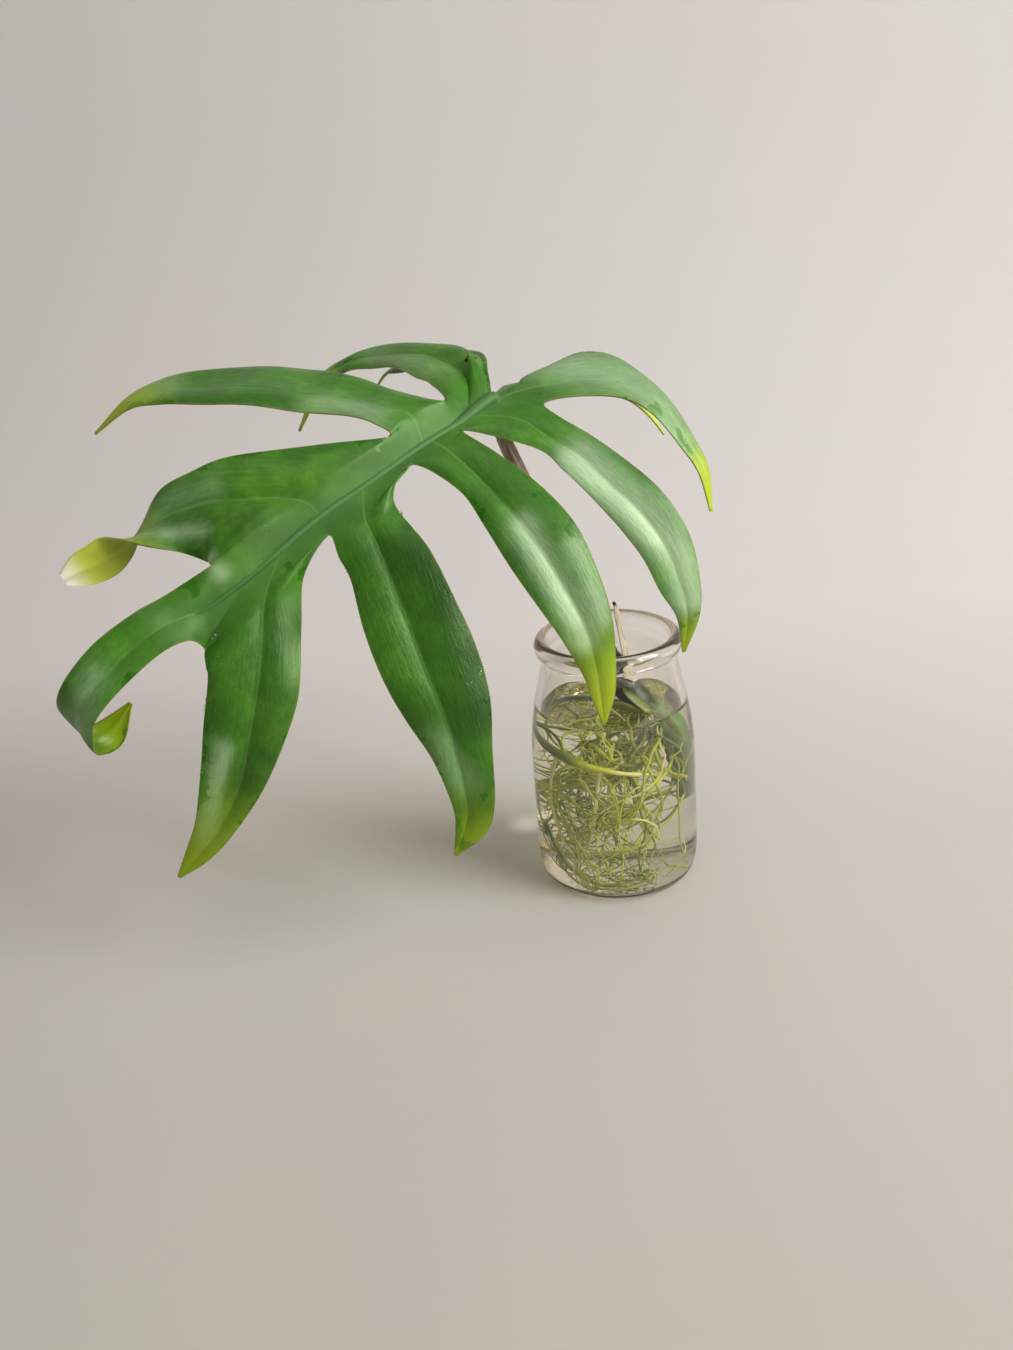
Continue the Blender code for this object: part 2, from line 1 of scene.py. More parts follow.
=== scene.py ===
"""A philodendron cutting that roots in a small glass jar of water.

The sections follow the object as it is put together: the jar, the water, the stem with its
roots, the petiole, the dry sheath, the leaf and the drops on it, then the floor, camera and lights.
Sizes are in millimetres and MM turns them to metres.
"""
import math
import random

import bmesh
import bpy
import numpy as np
from mathutils import Matrix, Vector, noise
from mathutils.bvhtree import BVHTree
from mathutils.kdtree import KDTree


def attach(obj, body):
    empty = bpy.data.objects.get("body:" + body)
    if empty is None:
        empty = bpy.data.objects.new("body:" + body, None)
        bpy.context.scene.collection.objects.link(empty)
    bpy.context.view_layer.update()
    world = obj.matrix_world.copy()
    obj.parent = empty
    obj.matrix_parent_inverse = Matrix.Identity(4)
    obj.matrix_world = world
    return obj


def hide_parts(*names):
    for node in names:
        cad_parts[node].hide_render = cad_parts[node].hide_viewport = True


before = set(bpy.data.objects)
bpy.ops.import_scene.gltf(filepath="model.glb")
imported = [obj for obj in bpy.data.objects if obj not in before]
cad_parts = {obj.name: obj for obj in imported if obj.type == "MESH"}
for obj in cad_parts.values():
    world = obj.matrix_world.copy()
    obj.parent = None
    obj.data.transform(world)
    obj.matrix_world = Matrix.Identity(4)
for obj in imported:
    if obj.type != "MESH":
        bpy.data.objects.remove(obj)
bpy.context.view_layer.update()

# THE JAR
# A small yoghurt jar of clear soda-lime glass, pressed in a mould and fire-polished, so its lip
# and edges are rounded and smooth. It stands free on the floor and holds all the rest.
MM = 0.001
JAR_STEPS = 144
SAME_POINT = 0.002 * MM       # points nearer than this are one
CORNER_CUT = 0.22             # share of a profile's line cut off at each of its ends
CORNER_ROUNDS = 2             # and how often
JAR_OUTSIDE = [(0, 0.6), (23, 0.6), (24.5, 0), (26, 0), (28.6, 1), (31.2, 4), (32.3, 9), (32.5, 14), (32.5, 58),
               (31.5, 68), (29.8, 78), (27.9, 86), (26.4, 93), (26.4, 96), (28.4, 98), (28.8, 101),
               (27.6, 103.4), (26, 104)]
JAR_INSIDE = [(0, 3.6), (24, 3.6), (27.6, 4), (29.3, 5.4), (29.8, 8), (29.8, 58), (28.8, 68), (27, 78), (25, 86),
              (23.5, 93), (23.4, 99), (23.8, 102), (24.8, 103.7)]
GLASS_TINT = "#fcf9f4"
GLASS_SHADE = "#f4f1ec"       # what one wall lets through to the shadow
GLASS_TRAPPED = "#c3b39e"     # the warm brown of light that has run along inside the wall
GLASS_IOR = 1.5


def linear(colour):
    """An sRGB hex colour as linear red, green, blue and alpha."""
    parts = [int(colour[i:i + 2], 16) / 255 for i in (1, 3, 5)]
    return (*[c / 12.92 if c <= 0.04045 else ((c + 0.055) / 1.055) ** 2.4 for c in parts], 1)


def new_material(name):
    """An empty material and its node tree."""
    made = bpy.data.materials.new(name)
    made.use_nodes = True
    made.node_tree.nodes.clear()
    return made, made.node_tree


def add(tree, kind, sockets=(), **settings):
    """One shader node of a kind. Sockets are its inputs, by name or in their order, as values or as what feeds
    them, where a node stands for its first output. Settings are its own properties or a ramp's stops."""
    made = tree.nodes.new("ShaderNode" + kind)
    for name, value in settings.items():
        if name == "stops":
            ramp = made.color_ramp.elements
            for place, colour in value[1:-1]:
                ramp.new(place)
            for element, (place, colour) in zip(ramp, value):
                element.position = place
                element.color = linear(colour) if isinstance(colour, str) else (colour, colour, colour, 1)
        else:
            setattr(made, name, value)
    if isinstance(sockets, dict):
        pairs = [(made.inputs[name], value) for name, value in sockets.items()]
    else:
        pairs = list(zip([socket for socket in made.inputs if socket.enabled], sockets))
    for socket, value in pairs:
        if isinstance(value, bpy.types.Node):
            value = next(out for out in value.outputs if out.enabled)
        if isinstance(value, bpy.types.NodeSocket):
            tree.links.new(value, socket)
        else:
            socket.default_value = linear(value) if isinstance(value, str) else value
    return made


def clear_material(name, tint, shade, trapped, ior):
    """A clear body that lets lamps shine into it; light caught in its wall leaves it with the trapped tint."""
    made, tree = new_material(name)
    body = add(tree, "BsdfPrincipled", {"Base Color": tint, "Roughness": 0.0, "IOR": ior, "Transmission Weight": 1.0})
    open_way = add(tree, "BsdfTransparent", [shade])
    late_way = add(tree, "BsdfTransparent", [trapped])
    path = add(tree, "LightPath")
    both = add(tree, "Math", [path.outputs["Is Shadow Ray"], path.outputs["Is Diffuse Ray"]], operation="MAXIMUM")
    mixed = add(tree, "MixShader", [both, body, open_way])
    # After two inner reflections the light goes straight on, so that the rim is brown and not black
    worn_out = add(tree, "Math", [path.outputs["Glossy Depth"], 1.5], operation="GREATER_THAN")
    finished = add(tree, "MixShader", [worn_out, mixed, late_way])
    add(tree, "OutputMaterial", [finished])
    return made


def rounded(profile):
    """The profile with its corners cut, over and over, so that they turn round."""
    for _ in range(CORNER_ROUNDS):
        cut = [profile[0]]
        for (r1, z1), (r2, z2) in zip(profile, profile[1:]):
            cut += [((1 - part) * r1 + part * r2, (1 - part) * z1 + part * z2)
                    for part in (CORNER_CUT, 1 - CORNER_CUT)]
        profile = cut[:1] + cut[2:-2] + [profile[-1]]
    return profile


def placed(name, mesh):
    """A new object with the mesh, and the only one selected."""
    bpy.ops.object.select_all(action="DESELECT")
    made = bpy.data.objects.new(name, mesh)
    bpy.context.collection.objects.link(made)
    bpy.context.view_layer.objects.active = made
    made.select_set(True)
    return made


def turned(name, profile, finish):
    """A body spun round the upright axis in edit mode; the profile starts and ends on the axis."""
    mesh = bpy.data.meshes.new(name)
    points = [(r * MM, 0, z * MM) for r, z in profile]
    mesh.from_pydata(points, [(i, i + 1) for i in range(len(points) - 1)], [])
    made = placed(name, mesh)
    bpy.ops.object.mode_set(mode="EDIT")
    bpy.ops.mesh.select_all(action="SELECT")
    bpy.ops.mesh.spin(steps=JAR_STEPS, angle=2 * math.pi, center=(0, 0, 0), axis=(0, 0, 1))
    bpy.ops.mesh.select_all(action="SELECT")
    bpy.ops.mesh.remove_doubles(threshold=SAME_POINT)
    bpy.ops.mesh.normals_make_consistent(inside=False)
    bpy.ops.object.mode_set(mode="OBJECT")
    made.data.shade_smooth()
    made.data.materials.append(finish)
    return made


clear_glass = clear_material("soda-lime glass, pressed and fire-polished", GLASS_TINT, GLASS_SHADE,
                             GLASS_TRAPPED, GLASS_IOR)
jar = turned("glass_jar", rounded(JAR_OUTSIDE + JAR_INSIDE[::-1]), clear_glass)
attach(jar, "root")
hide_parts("jar")

# THE WATER
# Tap water up to the jar's shoulder, tinted a little by the roots. It wets the glass, so its skin
# lies just inside the wall and climbs a little way up it all round.
WATER_LEVEL = 75
MENISCUS = 0.9
INTO_GLASS = 0.12             # the water's skin lies this far in the wall, so that no air shows between
WATER_TINT = "#fcfdf4"
WATER_SHADE = "#fbfcf5"
WATER_TRAPPED = "#dfe4cc"
WATER_IOR = 1.333

wall = [(r, z) for r, z in rounded(JAR_INSIDE) if z < WATER_LEVEL + MENISCUS]
brim = float(np.interp(WATER_LEVEL + MENISCUS, [z for r, z in JAR_INSIDE], [r for r, z in JAR_INSIDE]))
skin = [(r + (INTO_GLASS if r else 0), z - (INTO_GLASS if z < 12 else 0)) for r, z in wall]
skin += [(brim + INTO_GLASS, WATER_LEVEL + MENISCUS), (brim - 0.25, WATER_LEVEL + 0.55 * MENISCUS),
         (brim - 0.9, WATER_LEVEL + 0.2 * MENISCUS), (brim - 2, WATER_LEVEL + 0.04 * MENISCUS),
         (brim - 4, WATER_LEVEL), (0, WATER_LEVEL)]
fresh_water = clear_material("tap water", WATER_TINT, WATER_SHADE, WATER_TRAPPED, WATER_IOR)
water = turned("jar_water", skin, fresh_water)
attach(water, "root")
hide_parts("water")

# THE STEM WITH ITS ROOTS
# A short length of green vine stem, cut below a leaf, with a mass of young water roots grown from it.
# They are smooth, pale green to olive, thinner at every fork, and wind round inside the glass.
PETIOLE = [(-35, 6, 186), (-33, 5, 179), (-28, 4, 166), (-22, 4, 150), (-16, 4, 129), (-10, 3, 115), (-3.5, 2, 100)]
STEM_BELOW = [(7.5, -1, 80), (14, -3, 70), (19.5, -3, 60), (21.5, -2, 48), (21.5, -1, 34)]
STEM_RADII = [4.3, 5.5, 5.8, 5.4, 5, 4.6, 3.6]
STEM_RUN = 9
STEM_STEPS = 20
SEED = 14
MAIN_ROOTS = 9
ROOTS_FROM = 74
ROOTS_OVER = 12
FIRST_ANGLE = 140
GOLDEN_ANGLE = 137.5
ROOT_TURN = (70, 190)
ROOT_REST = 14
ROOT_SWAY = 2.5
ROOT_RADIUS = 0.85
ROOT_TAPER = 0.55             # share of its radius that a root loses towards its tip
SIDE_ROOTS = 2
SIDE_RADIUS = 0.45
SIDE_LENGTH = (7, 13)
SIDE_BEND = 3
SIDE_TAPER = 0.5
ROOT_REACH = 25.5
ROOT_FLOOR = 8.5
PALE_ROOT = [(1.5, -1.5, 84), (-0.5, -6.5, 76), (2.8, -8, 68), (5.6, -8.5, 60), (10, -9, 51), (13, -12, 42)]
PALE_RADIUS = 0.6
WALL_ROOT = [(10, -2, 74), (-4, 7, 71), (-18, 12, 69), (-26, 1, 66), (-25.5, -9, 64), (-19, -19, 62),
             (-13, -23.5, 60.3), (-3, -26.5, 58), (6, -25, 55.5), (13, -20, 53)]
WALL_RADII = [0.9, 1.3, 1.6, 1.7, 1.7, 1.9, 1.9, 1.3, 0.9, 0.8, 0.6]
WALL_TONES = [-0.1, -0.1, -0.1, -0.1, -0.1, -0.1, 0.1, 0.7, 0.95, 0.95, 0.9]
OLD_SCALES = [([(-5, -17, 31), (-1, -19, 34), (3, -19, 36.5), (7, -17, 39)], 2.6, 0.1),
              ([(-3, -9.5, 79), (3, -10, 77.5), (9, -10, 74), (14, -11.5, 70)], 2.6, -0.1),
              ([(5, -9, 83), (9, -10, 79), (14, -11.5, 74), (20, -12, 66)], 2.1, 0.0),
              ([(12, -11, 66), (18, -12, 62), (22, -11, 57), (23.5, -10, 50)], 2.2, -0.15),
              ([(15, -13, 74), (19, -13, 70), (22, -11.5, 65), (24, -9, 60)], 1.8, 0.15)]
# Single roots that lie in front against the glass: route, radius at the start, tone
FRONT_ROOTS = [
    ([(-21, -13, 60), (-23.5, -11.5, 48), (-23.5, -12, 36), (-21, -15.5, 25), (-16, -19.5, 17), (-9, -22.5, 13)],
     0.8, 0.95),
    ([(-8, -22, 50), (-9.5, -23, 40), (-11, -23, 30), (-14.5, -20.5, 21), (-17.5, -17, 14), (-13, -20, 9)],
     0.75, 1.0),
    ([(-25, -6, 27), (-22, -13, 16), (-15, -20, 9.5), (-6, -23.5, 7), (2, -23.5, 8.5), (9, -21.5, 12)], 0.9, 0.15),
    ([(-2, -24, 46), (-4.5, -24.3, 38), (-8, -23.5, 31), (-9.5, -22.5, 24), (-6, -23.5, 17)], 0.65, 0.9),
    ([(-18, -15, 44), (-12, -21, 38), (-4, -24, 35), (4, -23.5, 36), (11, -20.5, 32)], 0.7, 0.55),
    ([(-22, -12, 12), (-16, -17.5, 6), (-7, -21, 4.9), (2, -22, 5.2), (9, -20, 7)], 0.6, 0.7),
    ([(-24, -9, 38), (-21.5, -14, 30), (-22.5, -12, 22), (-19, -16, 14), (-12, -20, 10)], 0.6, 0.8)]
LONG_ROOTS = 36
LONG_FROM = (60, 74)          # the heights that they leave the stem at
LONG_ROUND = (120, 260)       # and on which side of it, in degrees
LONG_LENGTH = (60, 125)
LONG_RADIUS = (0.45, 0.75)
LONG_CURL = 0.26
LONG_TAPER = 0.6
HAIR_ROOTS = 430
HAIR_LENGTH = (6, 24)
HAIR_RADIUS = (0.22, 0.42)
HAIR_CURL = 0.45
FINE_SEED = 5
# Where the roots are thickest; each root is drawn to one of these
TANGLES = [(-16, -8, 34), (-15, -17, 8), (-9, -20, 8), (-19, -10, 16), (-3, -15, 18)]
TANGLE_PULL = 0.17
WALL_REACH = 26.5             # how far out a fine root may go
ROOT_BED = 4.8                # and lie on its floor


def unit(vector):
    """The vector at length one."""
    vector = np.asarray(vector, float)
    return vector / np.linalg.norm(vector)


def smooth(points, place):
    """A point on the smooth path through the given points; place counts them from 0."""
    points = np.asarray(points, float)
    index = max(0, min(int(place), len(points) - 2))
    part = place - index
    start, end = points[index], points[index + 1]
    before = points[index - 1] if index else 2 * start - end
    after = points[index + 2] if index + 2 < len(points) else 2 * end - start
    return 0.5 * (2 * start + (end - before) * part + (2 * before - 5 * start + 4 * end - after) * part ** 2
                  + (3 * start - before - 3 * end + after) * part ** 3)


def resample(points, steps):
    """The smooth path as steps + 1 points."""
    return [smooth(points, (len(points) - 1) * i / steps) for i in range(steps + 1)]


def spread(values, steps):
    """Numbers read between the given ones at steps + 1 even places."""
    return list(np.interp(np.linspace(0, len(values) - 1, steps + 1), range(len(values)), values))


def beyond(path, distance):
    """The point that lies straight on past the path's last point."""
    end, before = np.array(path[-1], float), np.array(path[-2], float)
    return end + unit(end - before) * distance


def sweep(path, radii, sides, flat=1.0):
    """Points and faces of a round rod along a path, its second direction across flattened."""
    path = np.asarray(path, float)
    tangents = np.gradient(path, axis=0)
    side = unit(np.cross(tangents[0], (0.31, 0.87, 0.38)))
    points, faces = [], []
    for centre, tangent, radius in zip(path, tangents, radii):
        along = unit(tangent)
        side = unit(side - (side @ along) * along)
        up = np.cross(along, side)
        for k in range(sides):
            turn = 2 * math.pi * k / sides
            points.append(centre + radius * (math.cos(turn) * side + flat * math.sin(turn) * up))
    for row in range(len(path) - 1):
        for k in range(sides):
            after, low = (k + 1) % sides, row * sides
            faces.append((low + k, low + after, low + sides + after, low + sides + k))
    faces.append(tuple(range(sides))[::-1])
    faces.append(tuple(len(points) - sides + k for k in range(sides)))
    return points, faces


def build(name, rods, finish, sharp=40):
    """One piece of one or more rods; each rod is (points, faces, tone or tone of each row, rows)."""
    points, faces, tones, places = [], [], [], []
    for rod_points, rod_faces, tone, rows in rods:
        first = len(points)
        points += [tuple(float(c) * MM for c in p) for p in rod_points]
        faces += [tuple(first + i for i in face) for face in rod_faces]
        sides = len(rod_points) // rows
        shades = tone if isinstance(tone, list) else [tone] * rows
        tones += [shade for shade in shades for _ in range(sides)]
        places += [i // sides / (rows - 1) for i in range(len(rod_points))]
    mesh = bpy.data.meshes.new(name)
    mesh.from_pydata(points, [], faces)
    for label, values in (("tone", tones), ("along", places)):
        mesh.attributes.new(label, "FLOAT", "POINT").data.foreach_set("value", values)
    made = placed(name, mesh)
    bpy.ops.object.shade_smooth_by_angle(angle=math.radians(sharp))
    made.data.materials.append(finish)
    return made


def rod(path, radii, sides, tone, flat=1.0):
    """A rod with its tone, as build takes it."""
    return (*sweep(path, radii, sides, flat), tone, len(path))


def stem_path(finer=1):
    """The stem's centre line and radii, with the low rings of old leaf scars."""
    route = [beyond(PETIOLE, 0), beyond(PETIOLE, STEM_RUN)] + [np.array(p, float) for p in STEM_BELOW]
    steps = STEM_STEPS * finer
    swell = [1 + 0.04 * math.cos(math.pi * i / finer) for i in range(steps + 1)]
    return resample(route, steps), [r * s for r, s in zip(spread(STEM_RADII, steps), swell)]


def stem_at(height):
    """The stem's centre at a height."""
    upward = stem_path()[0][::-1]
    heights = [p[2] for p in upward]
    return [float(np.interp(height, heights, [p[k] for p in upward])) for k in (0, 1)] + [height]


def taper(radius, loss, steps):
    """Radii at steps + 1 places that lose a share of the first one towards the tip."""
    return [radius * (1 - loss * i / steps) for i in range(steps + 1)]


def root_route(draw, number):
    """One main root: out of the stem, out to the glass and round it on the way down."""
    height = ROOTS_FROM - ROOTS_OVER * number / (MAIN_ROOTS - 1)
    angle = math.radians(FIRST_ANGLE + GOLDEN_ANGLE * number)
    turn = math.radians(draw.uniform(*ROOT_TURN)) * draw.choice((-1, 1))
    reach = draw.uniform(0.75, 1) * ROOT_REACH
    lowest = draw.uniform(ROOT_FLOOR, ROOT_FLOOR + ROOT_REST)
    start = np.array(stem_at(height))
    route = [start]
    for step in range(1, 8):
        part = step / 7
        out = reach * min(1, 0.3 + 1.6 * part)
        bend = angle + turn * part ** 1.3
        fall = (height - lowest) * part ** 0.8 + 2
        home = (1 - part) * start[:2] * max(0, 1 - 2 * part)
        place = home + out * np.array((math.cos(bend), math.sin(bend)))
        place *= min(1, ROOT_REACH / np.linalg.norm(place))
        level = height - fall + draw.uniform(-ROOT_SWAY, ROOT_SWAY) * part
        route.append(np.array((*place, max(level, ROOT_FLOOR))))
    return route


def side_route(draw, path):
    """A short rootlet from somewhere on a main root."""
    start = path[draw.randrange(len(path) // 3, len(path) - 2)]
    heading = unit((draw.uniform(-1, 1), draw.uniform(-1, 1), draw.uniform(-0.9, 0.3)))
    length = draw.uniform(*SIDE_LENGTH)
    sway = unit((draw.uniform(-1, 1), draw.uniform(-1, 1), draw.uniform(-1, 1)))
    route = [start + heading * length * t + sway * SIDE_BEND * t ** 2 for t in (0, 0.35, 0.7, 1)]
    for point in route:
        point[:2] *= min(1, ROOT_REACH / max(1e-6, np.linalg.norm(point[:2])))
        point[2] = min(max(point[2], ROOT_FLOOR), WATER_LEVEL - 5)
    return route


def wander(draw, start, heading, length, curl):
    """A root's path that winds as it grows, and slides along the glass where it meets it."""
    steps = max(6, int(length / 1.6))
    spin = unit([draw.uniform(-1, 1) for _ in range(3)])
    target = np.array(draw.choice(TANGLES), float)
    point, path = np.array(start, float), [np.array(start, float)]
    for _ in range(steps):
        spin = unit(spin + 0.5 * np.array([draw.uniform(-1, 1) for _ in range(3)]))
        heading = unit(heading + curl * np.cross(spin, heading) + TANGLE_PULL * unit(target - point))
        point = point + heading * length / steps
        out = float(np.hypot(point[0], point[1]))
        reach = WALL_REACH - (1 if point[2] < 8 else 0)
        if out > reach:
            point[:2] *= reach / out
            away = np.array((point[0], point[1], 0)) / reach
            heading = unit(heading - 1.2 * max(0.0, float(heading @ away)) * away)
        if point[2] < ROOT_BED or point[2] > WATER_LEVEL - 1.5:
            point[2] = min(max(point[2], ROOT_BED), WATER_LEVEL - 1.5)
            heading[2] *= -0.4
        path.append(point.copy())
    return path


def grown_from(route, paths):
    """The route with the nearest point of the paths put before it, so that it grows out of that path."""
    near = min((p for path in paths for p in path), key=lambda p: float(np.linalg.norm(p - np.array(route[0]))))
    return [near] + route


draw = random.Random(SEED)
rods, grown = [], []
stem_line, stem_radii = stem_path(5)
rods.append(rod(stem_line, stem_radii, 28, -1.0))
for number in range(MAIN_ROOTS):
    path = resample(root_route(draw, number), 11)
    grown.append(path)
    fine = resample(path, 44)
    rods.append(rod(fine, taper(ROOT_RADIUS, ROOT_TAPER, 44), 9, 0.35 + 0.06 * number))
    for _ in range(SIDE_ROOTS):
        rootlet = resample(side_route(draw, path), 4)
        rods.append(rod(resample(rootlet, 14), taper(SIDE_RADIUS, SIDE_TAPER, 14), 7, 0.6))
rods.append(rod(resample(PALE_ROOT, 40), taper(PALE_RADIUS, SIDE_TAPER, 40), 9, 1.0))
wall_line = resample(WALL_ROOT, 90)
grown.append(wall_line)
rods.append(rod(wall_line, spread(WALL_RADII, 90), 12, spread(WALL_TONES, 90)))
for scale, wide, shade in OLD_SCALES:
    line = resample(grown_from(scale, grown + [stem_line]), 24)
    rods.append(rod(line, spread([0.15 * wide, 0.4 * wide, 0.9 * wide, wide, 0.7 * wide, 0.08 * wide], 24), 12,
                    shade, 0.3))

for route, thick, shade in FRONT_ROOTS:
    line = resample(grown_from(route, grown), 66)
    rods.append(rod(line, taper(thick, ROOT_TAPER, 66), 9, shade))
    grown.append(line)

chance = random.Random(FINE_SEED)
for number in range(LONG_ROOTS):
    height = chance.uniform(*LONG_FROM)
    bend = math.radians(chance.uniform(*LONG_ROUND))
    begin = np.array(stem_at(height)) + 4 * np.array((math.cos(bend), math.sin(bend), 0))
    path = wander(chance, begin, (math.cos(bend), math.sin(bend), chance.uniform(-1.2, -0.2)),
                  chance.uniform(*LONG_LENGTH), LONG_CURL)
    grown.append(path)
    steps = len(path)
    thick = chance.uniform(*LONG_RADIUS)
    rods.append(rod(resample(path, steps), taper(thick, LONG_TAPER, steps), 7, chance.uniform(0.05, 0.95)))
for number in range(HAIR_ROOTS):
    mother = chance.choice(grown)
    begin = mother[chance.randrange(len(mother) // 5, len(mother) - 1)]
    # Few fine roots grow on the right above the floor
    if begin[0] > 6 and begin[2] > 25 and chance.random() < 0.65:
        continue
    heading = unit([chance.uniform(-1, 1) for _ in range(3)])
    path = wander(chance, begin, heading, chance.uniform(*HAIR_LENGTH), HAIR_CURL)
    thick = chance.uniform(*HAIR_RADIUS)
    steps = len(path)
    rods.append(rod(resample(path, steps), taper(thick, ROOT_TAPER, steps), 5, chance.uniform(0.05, 1.0)))

root_skin, tree = new_material("living root and green stem")
tone = add(tree, "Attribute", attribute_name="tone").outputs["Fac"]
along = add(tree, "Attribute", attribute_name="along").outputs["Fac"]
place = add(tree, "TexCoord").outputs["Object"]
# Roots are mottled every 6 mm or so
mottle = add(tree, "TexNoise", {"Vector": place, "Scale": 170.0, "Detail": 4.0, "Roughness": 0.6})
mixed_tone = add(tree, "Math", [mottle, 0.5, tone], operation="MULTIPLY_ADD")
lowered = add(tree, "Math", [mixed_tone, 0.25], operation="SUBTRACT")
hue = add(tree, "ValToRGB", [lowered], stops=[(0.0, "#33561a"), (0.2, "#74861a"), (0.42, "#a6b41c"),
    (0.65, "#c8d024"), (0.85, "#e0e24a"), (1.0, "#f2f0bc")])
paler = add(tree, "Mix", [along, hue, "#d2da48"], data_type="RGBA")
half_paler = add(tree, "Mix", [0.35, hue, paler], data_type="RGBA")
# The stem is dark where it left the air, bright green at the water line and grey-green further down
stem_hue = add(tree, "ValToRGB", [along], stops=[(0.0, "#3b3d20"), (0.3, "#30381a"), (0.44, "#34501e"),
    (0.56, "#578334"), (0.72, "#54703e"), (1.0, "#66745a")])
stem_mottle = add(tree, "Mix", [0.85, stem_hue, mottle.outputs["Color"]], data_type="RGBA", blend_type="OVERLAY")
is_stem = add(tree, "Math", [tone, -0.5], operation="LESS_THAN")
skin_choice = add(tree, "Mix", [is_stem, half_paler, stem_mottle], data_type="RGBA")
bump = add(tree, "Bump", {"Strength": 0.5, "Distance": 0.0006, "Height": mottle})
shine = add(tree, "MapRange", [mottle, 0.0, 1.0, 0.35, 0.6])
surface = add(tree, "BsdfPrincipled", {"Base Color": skin_choice, "Roughness": shine, "Normal": bump,
    "Subsurface Weight": 0.25, "Subsurface Radius": (0.6, 0.8, 0.2), "Subsurface Scale": 0.001})
add(tree, "OutputMaterial", [surface])
rooted_stem = build("rooted_stem", rods, root_skin)
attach(rooted_stem, "root")
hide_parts("stem_with_roots")

# THE PETIOLE
# The leaf's stalk, firm and smooth, flattened a little on its upper side. Its skin is purple-brown
# with fine pale streaks along it, and it grows out of the stem just above the jar's mouth.
PETIOLE_RADII = [2.6, 2.8, 3, 3.1, 3.3, 3.5, 4.2]
stalk_line = resample(PETIOLE, 80)
stalk_line[0] = stalk_line[0] + unit(stalk_line[0] - stalk_line[1]) * 0.3
stalk_line[-1] = beyond(stalk_line, 0.3)
stalk_skin, tree = new_material("petiole skin, smooth and waxy")
place = add(tree, "TexCoord").outputs["Object"]
# Streaks 1 mm wide and finer that run up the stalk: the noise is drawn out eight times in height
drawn = add(tree, "Mapping", {"Vector": place, "Scale": (1.0, 1.0, 0.12)})
streaks = add(tree, "TexNoise", {"Vector": drawn, "Scale": 900.0, "Detail": 5.0})
patches = add(tree, "TexNoise", {"Vector": place, "Scale": 90.0, "Detail": 3.0})
skin_hue = add(tree, "ValToRGB", [streaks], stops=[(0.25, "#8f685e"), (0.5, "#ba9284"), (0.72, "#d8b9ac")])
green_hint = add(tree, "Mix", [0.25, skin_hue, "#94917a"], data_type="RGBA")
choice = add(tree, "Mix", [patches, skin_hue, green_hint], data_type="RGBA")
bump = add(tree, "Bump", {"Strength": 0.35, "Distance": 0.0002, "Height": streaks})
surface = add(tree, "BsdfPrincipled", {"Base Color": choice, "Roughness": 0.38, "Normal": bump})
add(tree, "OutputMaterial", [surface])
petiole = build("leaf_petiole", [rod(stalk_line, spread(PETIOLE_RADII, 80), 28, 0.5)], stalk_skin)
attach(petiole, "root")
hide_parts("petiole")

# THE DRY SHEATH
# The papery remains of the sheath that wrapped the young leaf: a curled cream strip with brown
# fibres and a dark tip. It still holds on to the stem, on the right of the petiole.
SHEATH_TOP = [(6.7, -3, 96.4), (5.2, -2, 105.2), (4.1, -1, 112.3), (3.2, -0.5, 116.3)]
SHEATH_SIDE = -40
SHEATH_WIDTHS = [3.8, 4.3, 4.1, 3.4, 2.7, 1.1]
SHEATH_THICK = 0.9
SHEATH_OUT = 8
SHEATH_ROWS = 60
SHEATH_COLUMNS = 12

angle = math.radians(SHEATH_SIDE)
outward = np.array((math.cos(angle), math.sin(angle), 0))
sideways = np.array((-math.sin(angle), math.cos(angle), 0))
foot = [np.array(stem_at(height)) + SHEATH_OUT * outward for height in (86, 91)]
strip_points, strip_faces = [], []
for row, (centre, width) in enumerate(zip(resample(foot + SHEATH_TOP, SHEATH_ROWS),
                                          spread(SHEATH_WIDTHS, SHEATH_ROWS))):
    for face_side in (0.5, -0.5):
        for k in range(SHEATH_COLUMNS + 1):
            s = (2 * k / SHEATH_COLUMNS - 1) * (1 if face_side > 0 else -1)
            crinkle = 0.12 * math.sin(5 * s + 0.35 * row) + 0.08 * math.sin(11 * s)
            thin = SHEATH_THICK * (1 - 0.45 * s * s)
            strip_points.append(centre + sideways * s * width / 2
                                + outward * (-0.1 * width * s * s + face_side * thin + crinkle))
count = 2 * (SHEATH_COLUMNS + 1)
for row in range(SHEATH_ROWS):
    for k in range(count):
        after, low = (k + 1) % count, row * count
        strip_faces.append((low + k, low + after, low + count + after, low + count + k))
for first, turn in ((0, -1), (SHEATH_ROWS * count, 1)):
    for k in range(SHEATH_COLUMNS):
        cap = (first + k, first + k + 1, first + count - 2 - k, first + count - 1 - k)
        strip_faces.append(cap[::turn])
papery, tree = new_material("dry papery sheath")
place = add(tree, "TexCoord").outputs["Object"]
along = add(tree, "Attribute", attribute_name="along").outputs["Fac"]
drawn = add(tree, "Mapping", {"Vector": place, "Scale": (1.0, 1.0, 0.08)})
fibres = add(tree, "TexNoise", {"Vector": drawn, "Scale": 1400.0, "Detail": 4.0})
paper = add(tree, "ValToRGB", [fibres], stops=[(0.3, "#b3a480"), (0.5, "#ddd2b0"), (0.75, "#f2ebd6")])
burnt = add(tree, "ValToRGB", [along], stops=[(0.9, 0.0), (0.955, 1.0)])
coloured = add(tree, "Mix", [burnt, paper, "#3a2c22"], data_type="RGBA")
bump = add(tree, "Bump", {"Strength": 0.5, "Distance": 0.0002, "Height": fibres})
surface = add(tree, "BsdfPrincipled", {"Base Color": coloured, "Roughness": 0.75, "Normal": bump})
add(tree, "OutputMaterial", [surface])
sheath = build("dry_sheath", [(strip_points, strip_faces, 0.5, SHEATH_ROWS + 1)], papery, 50)
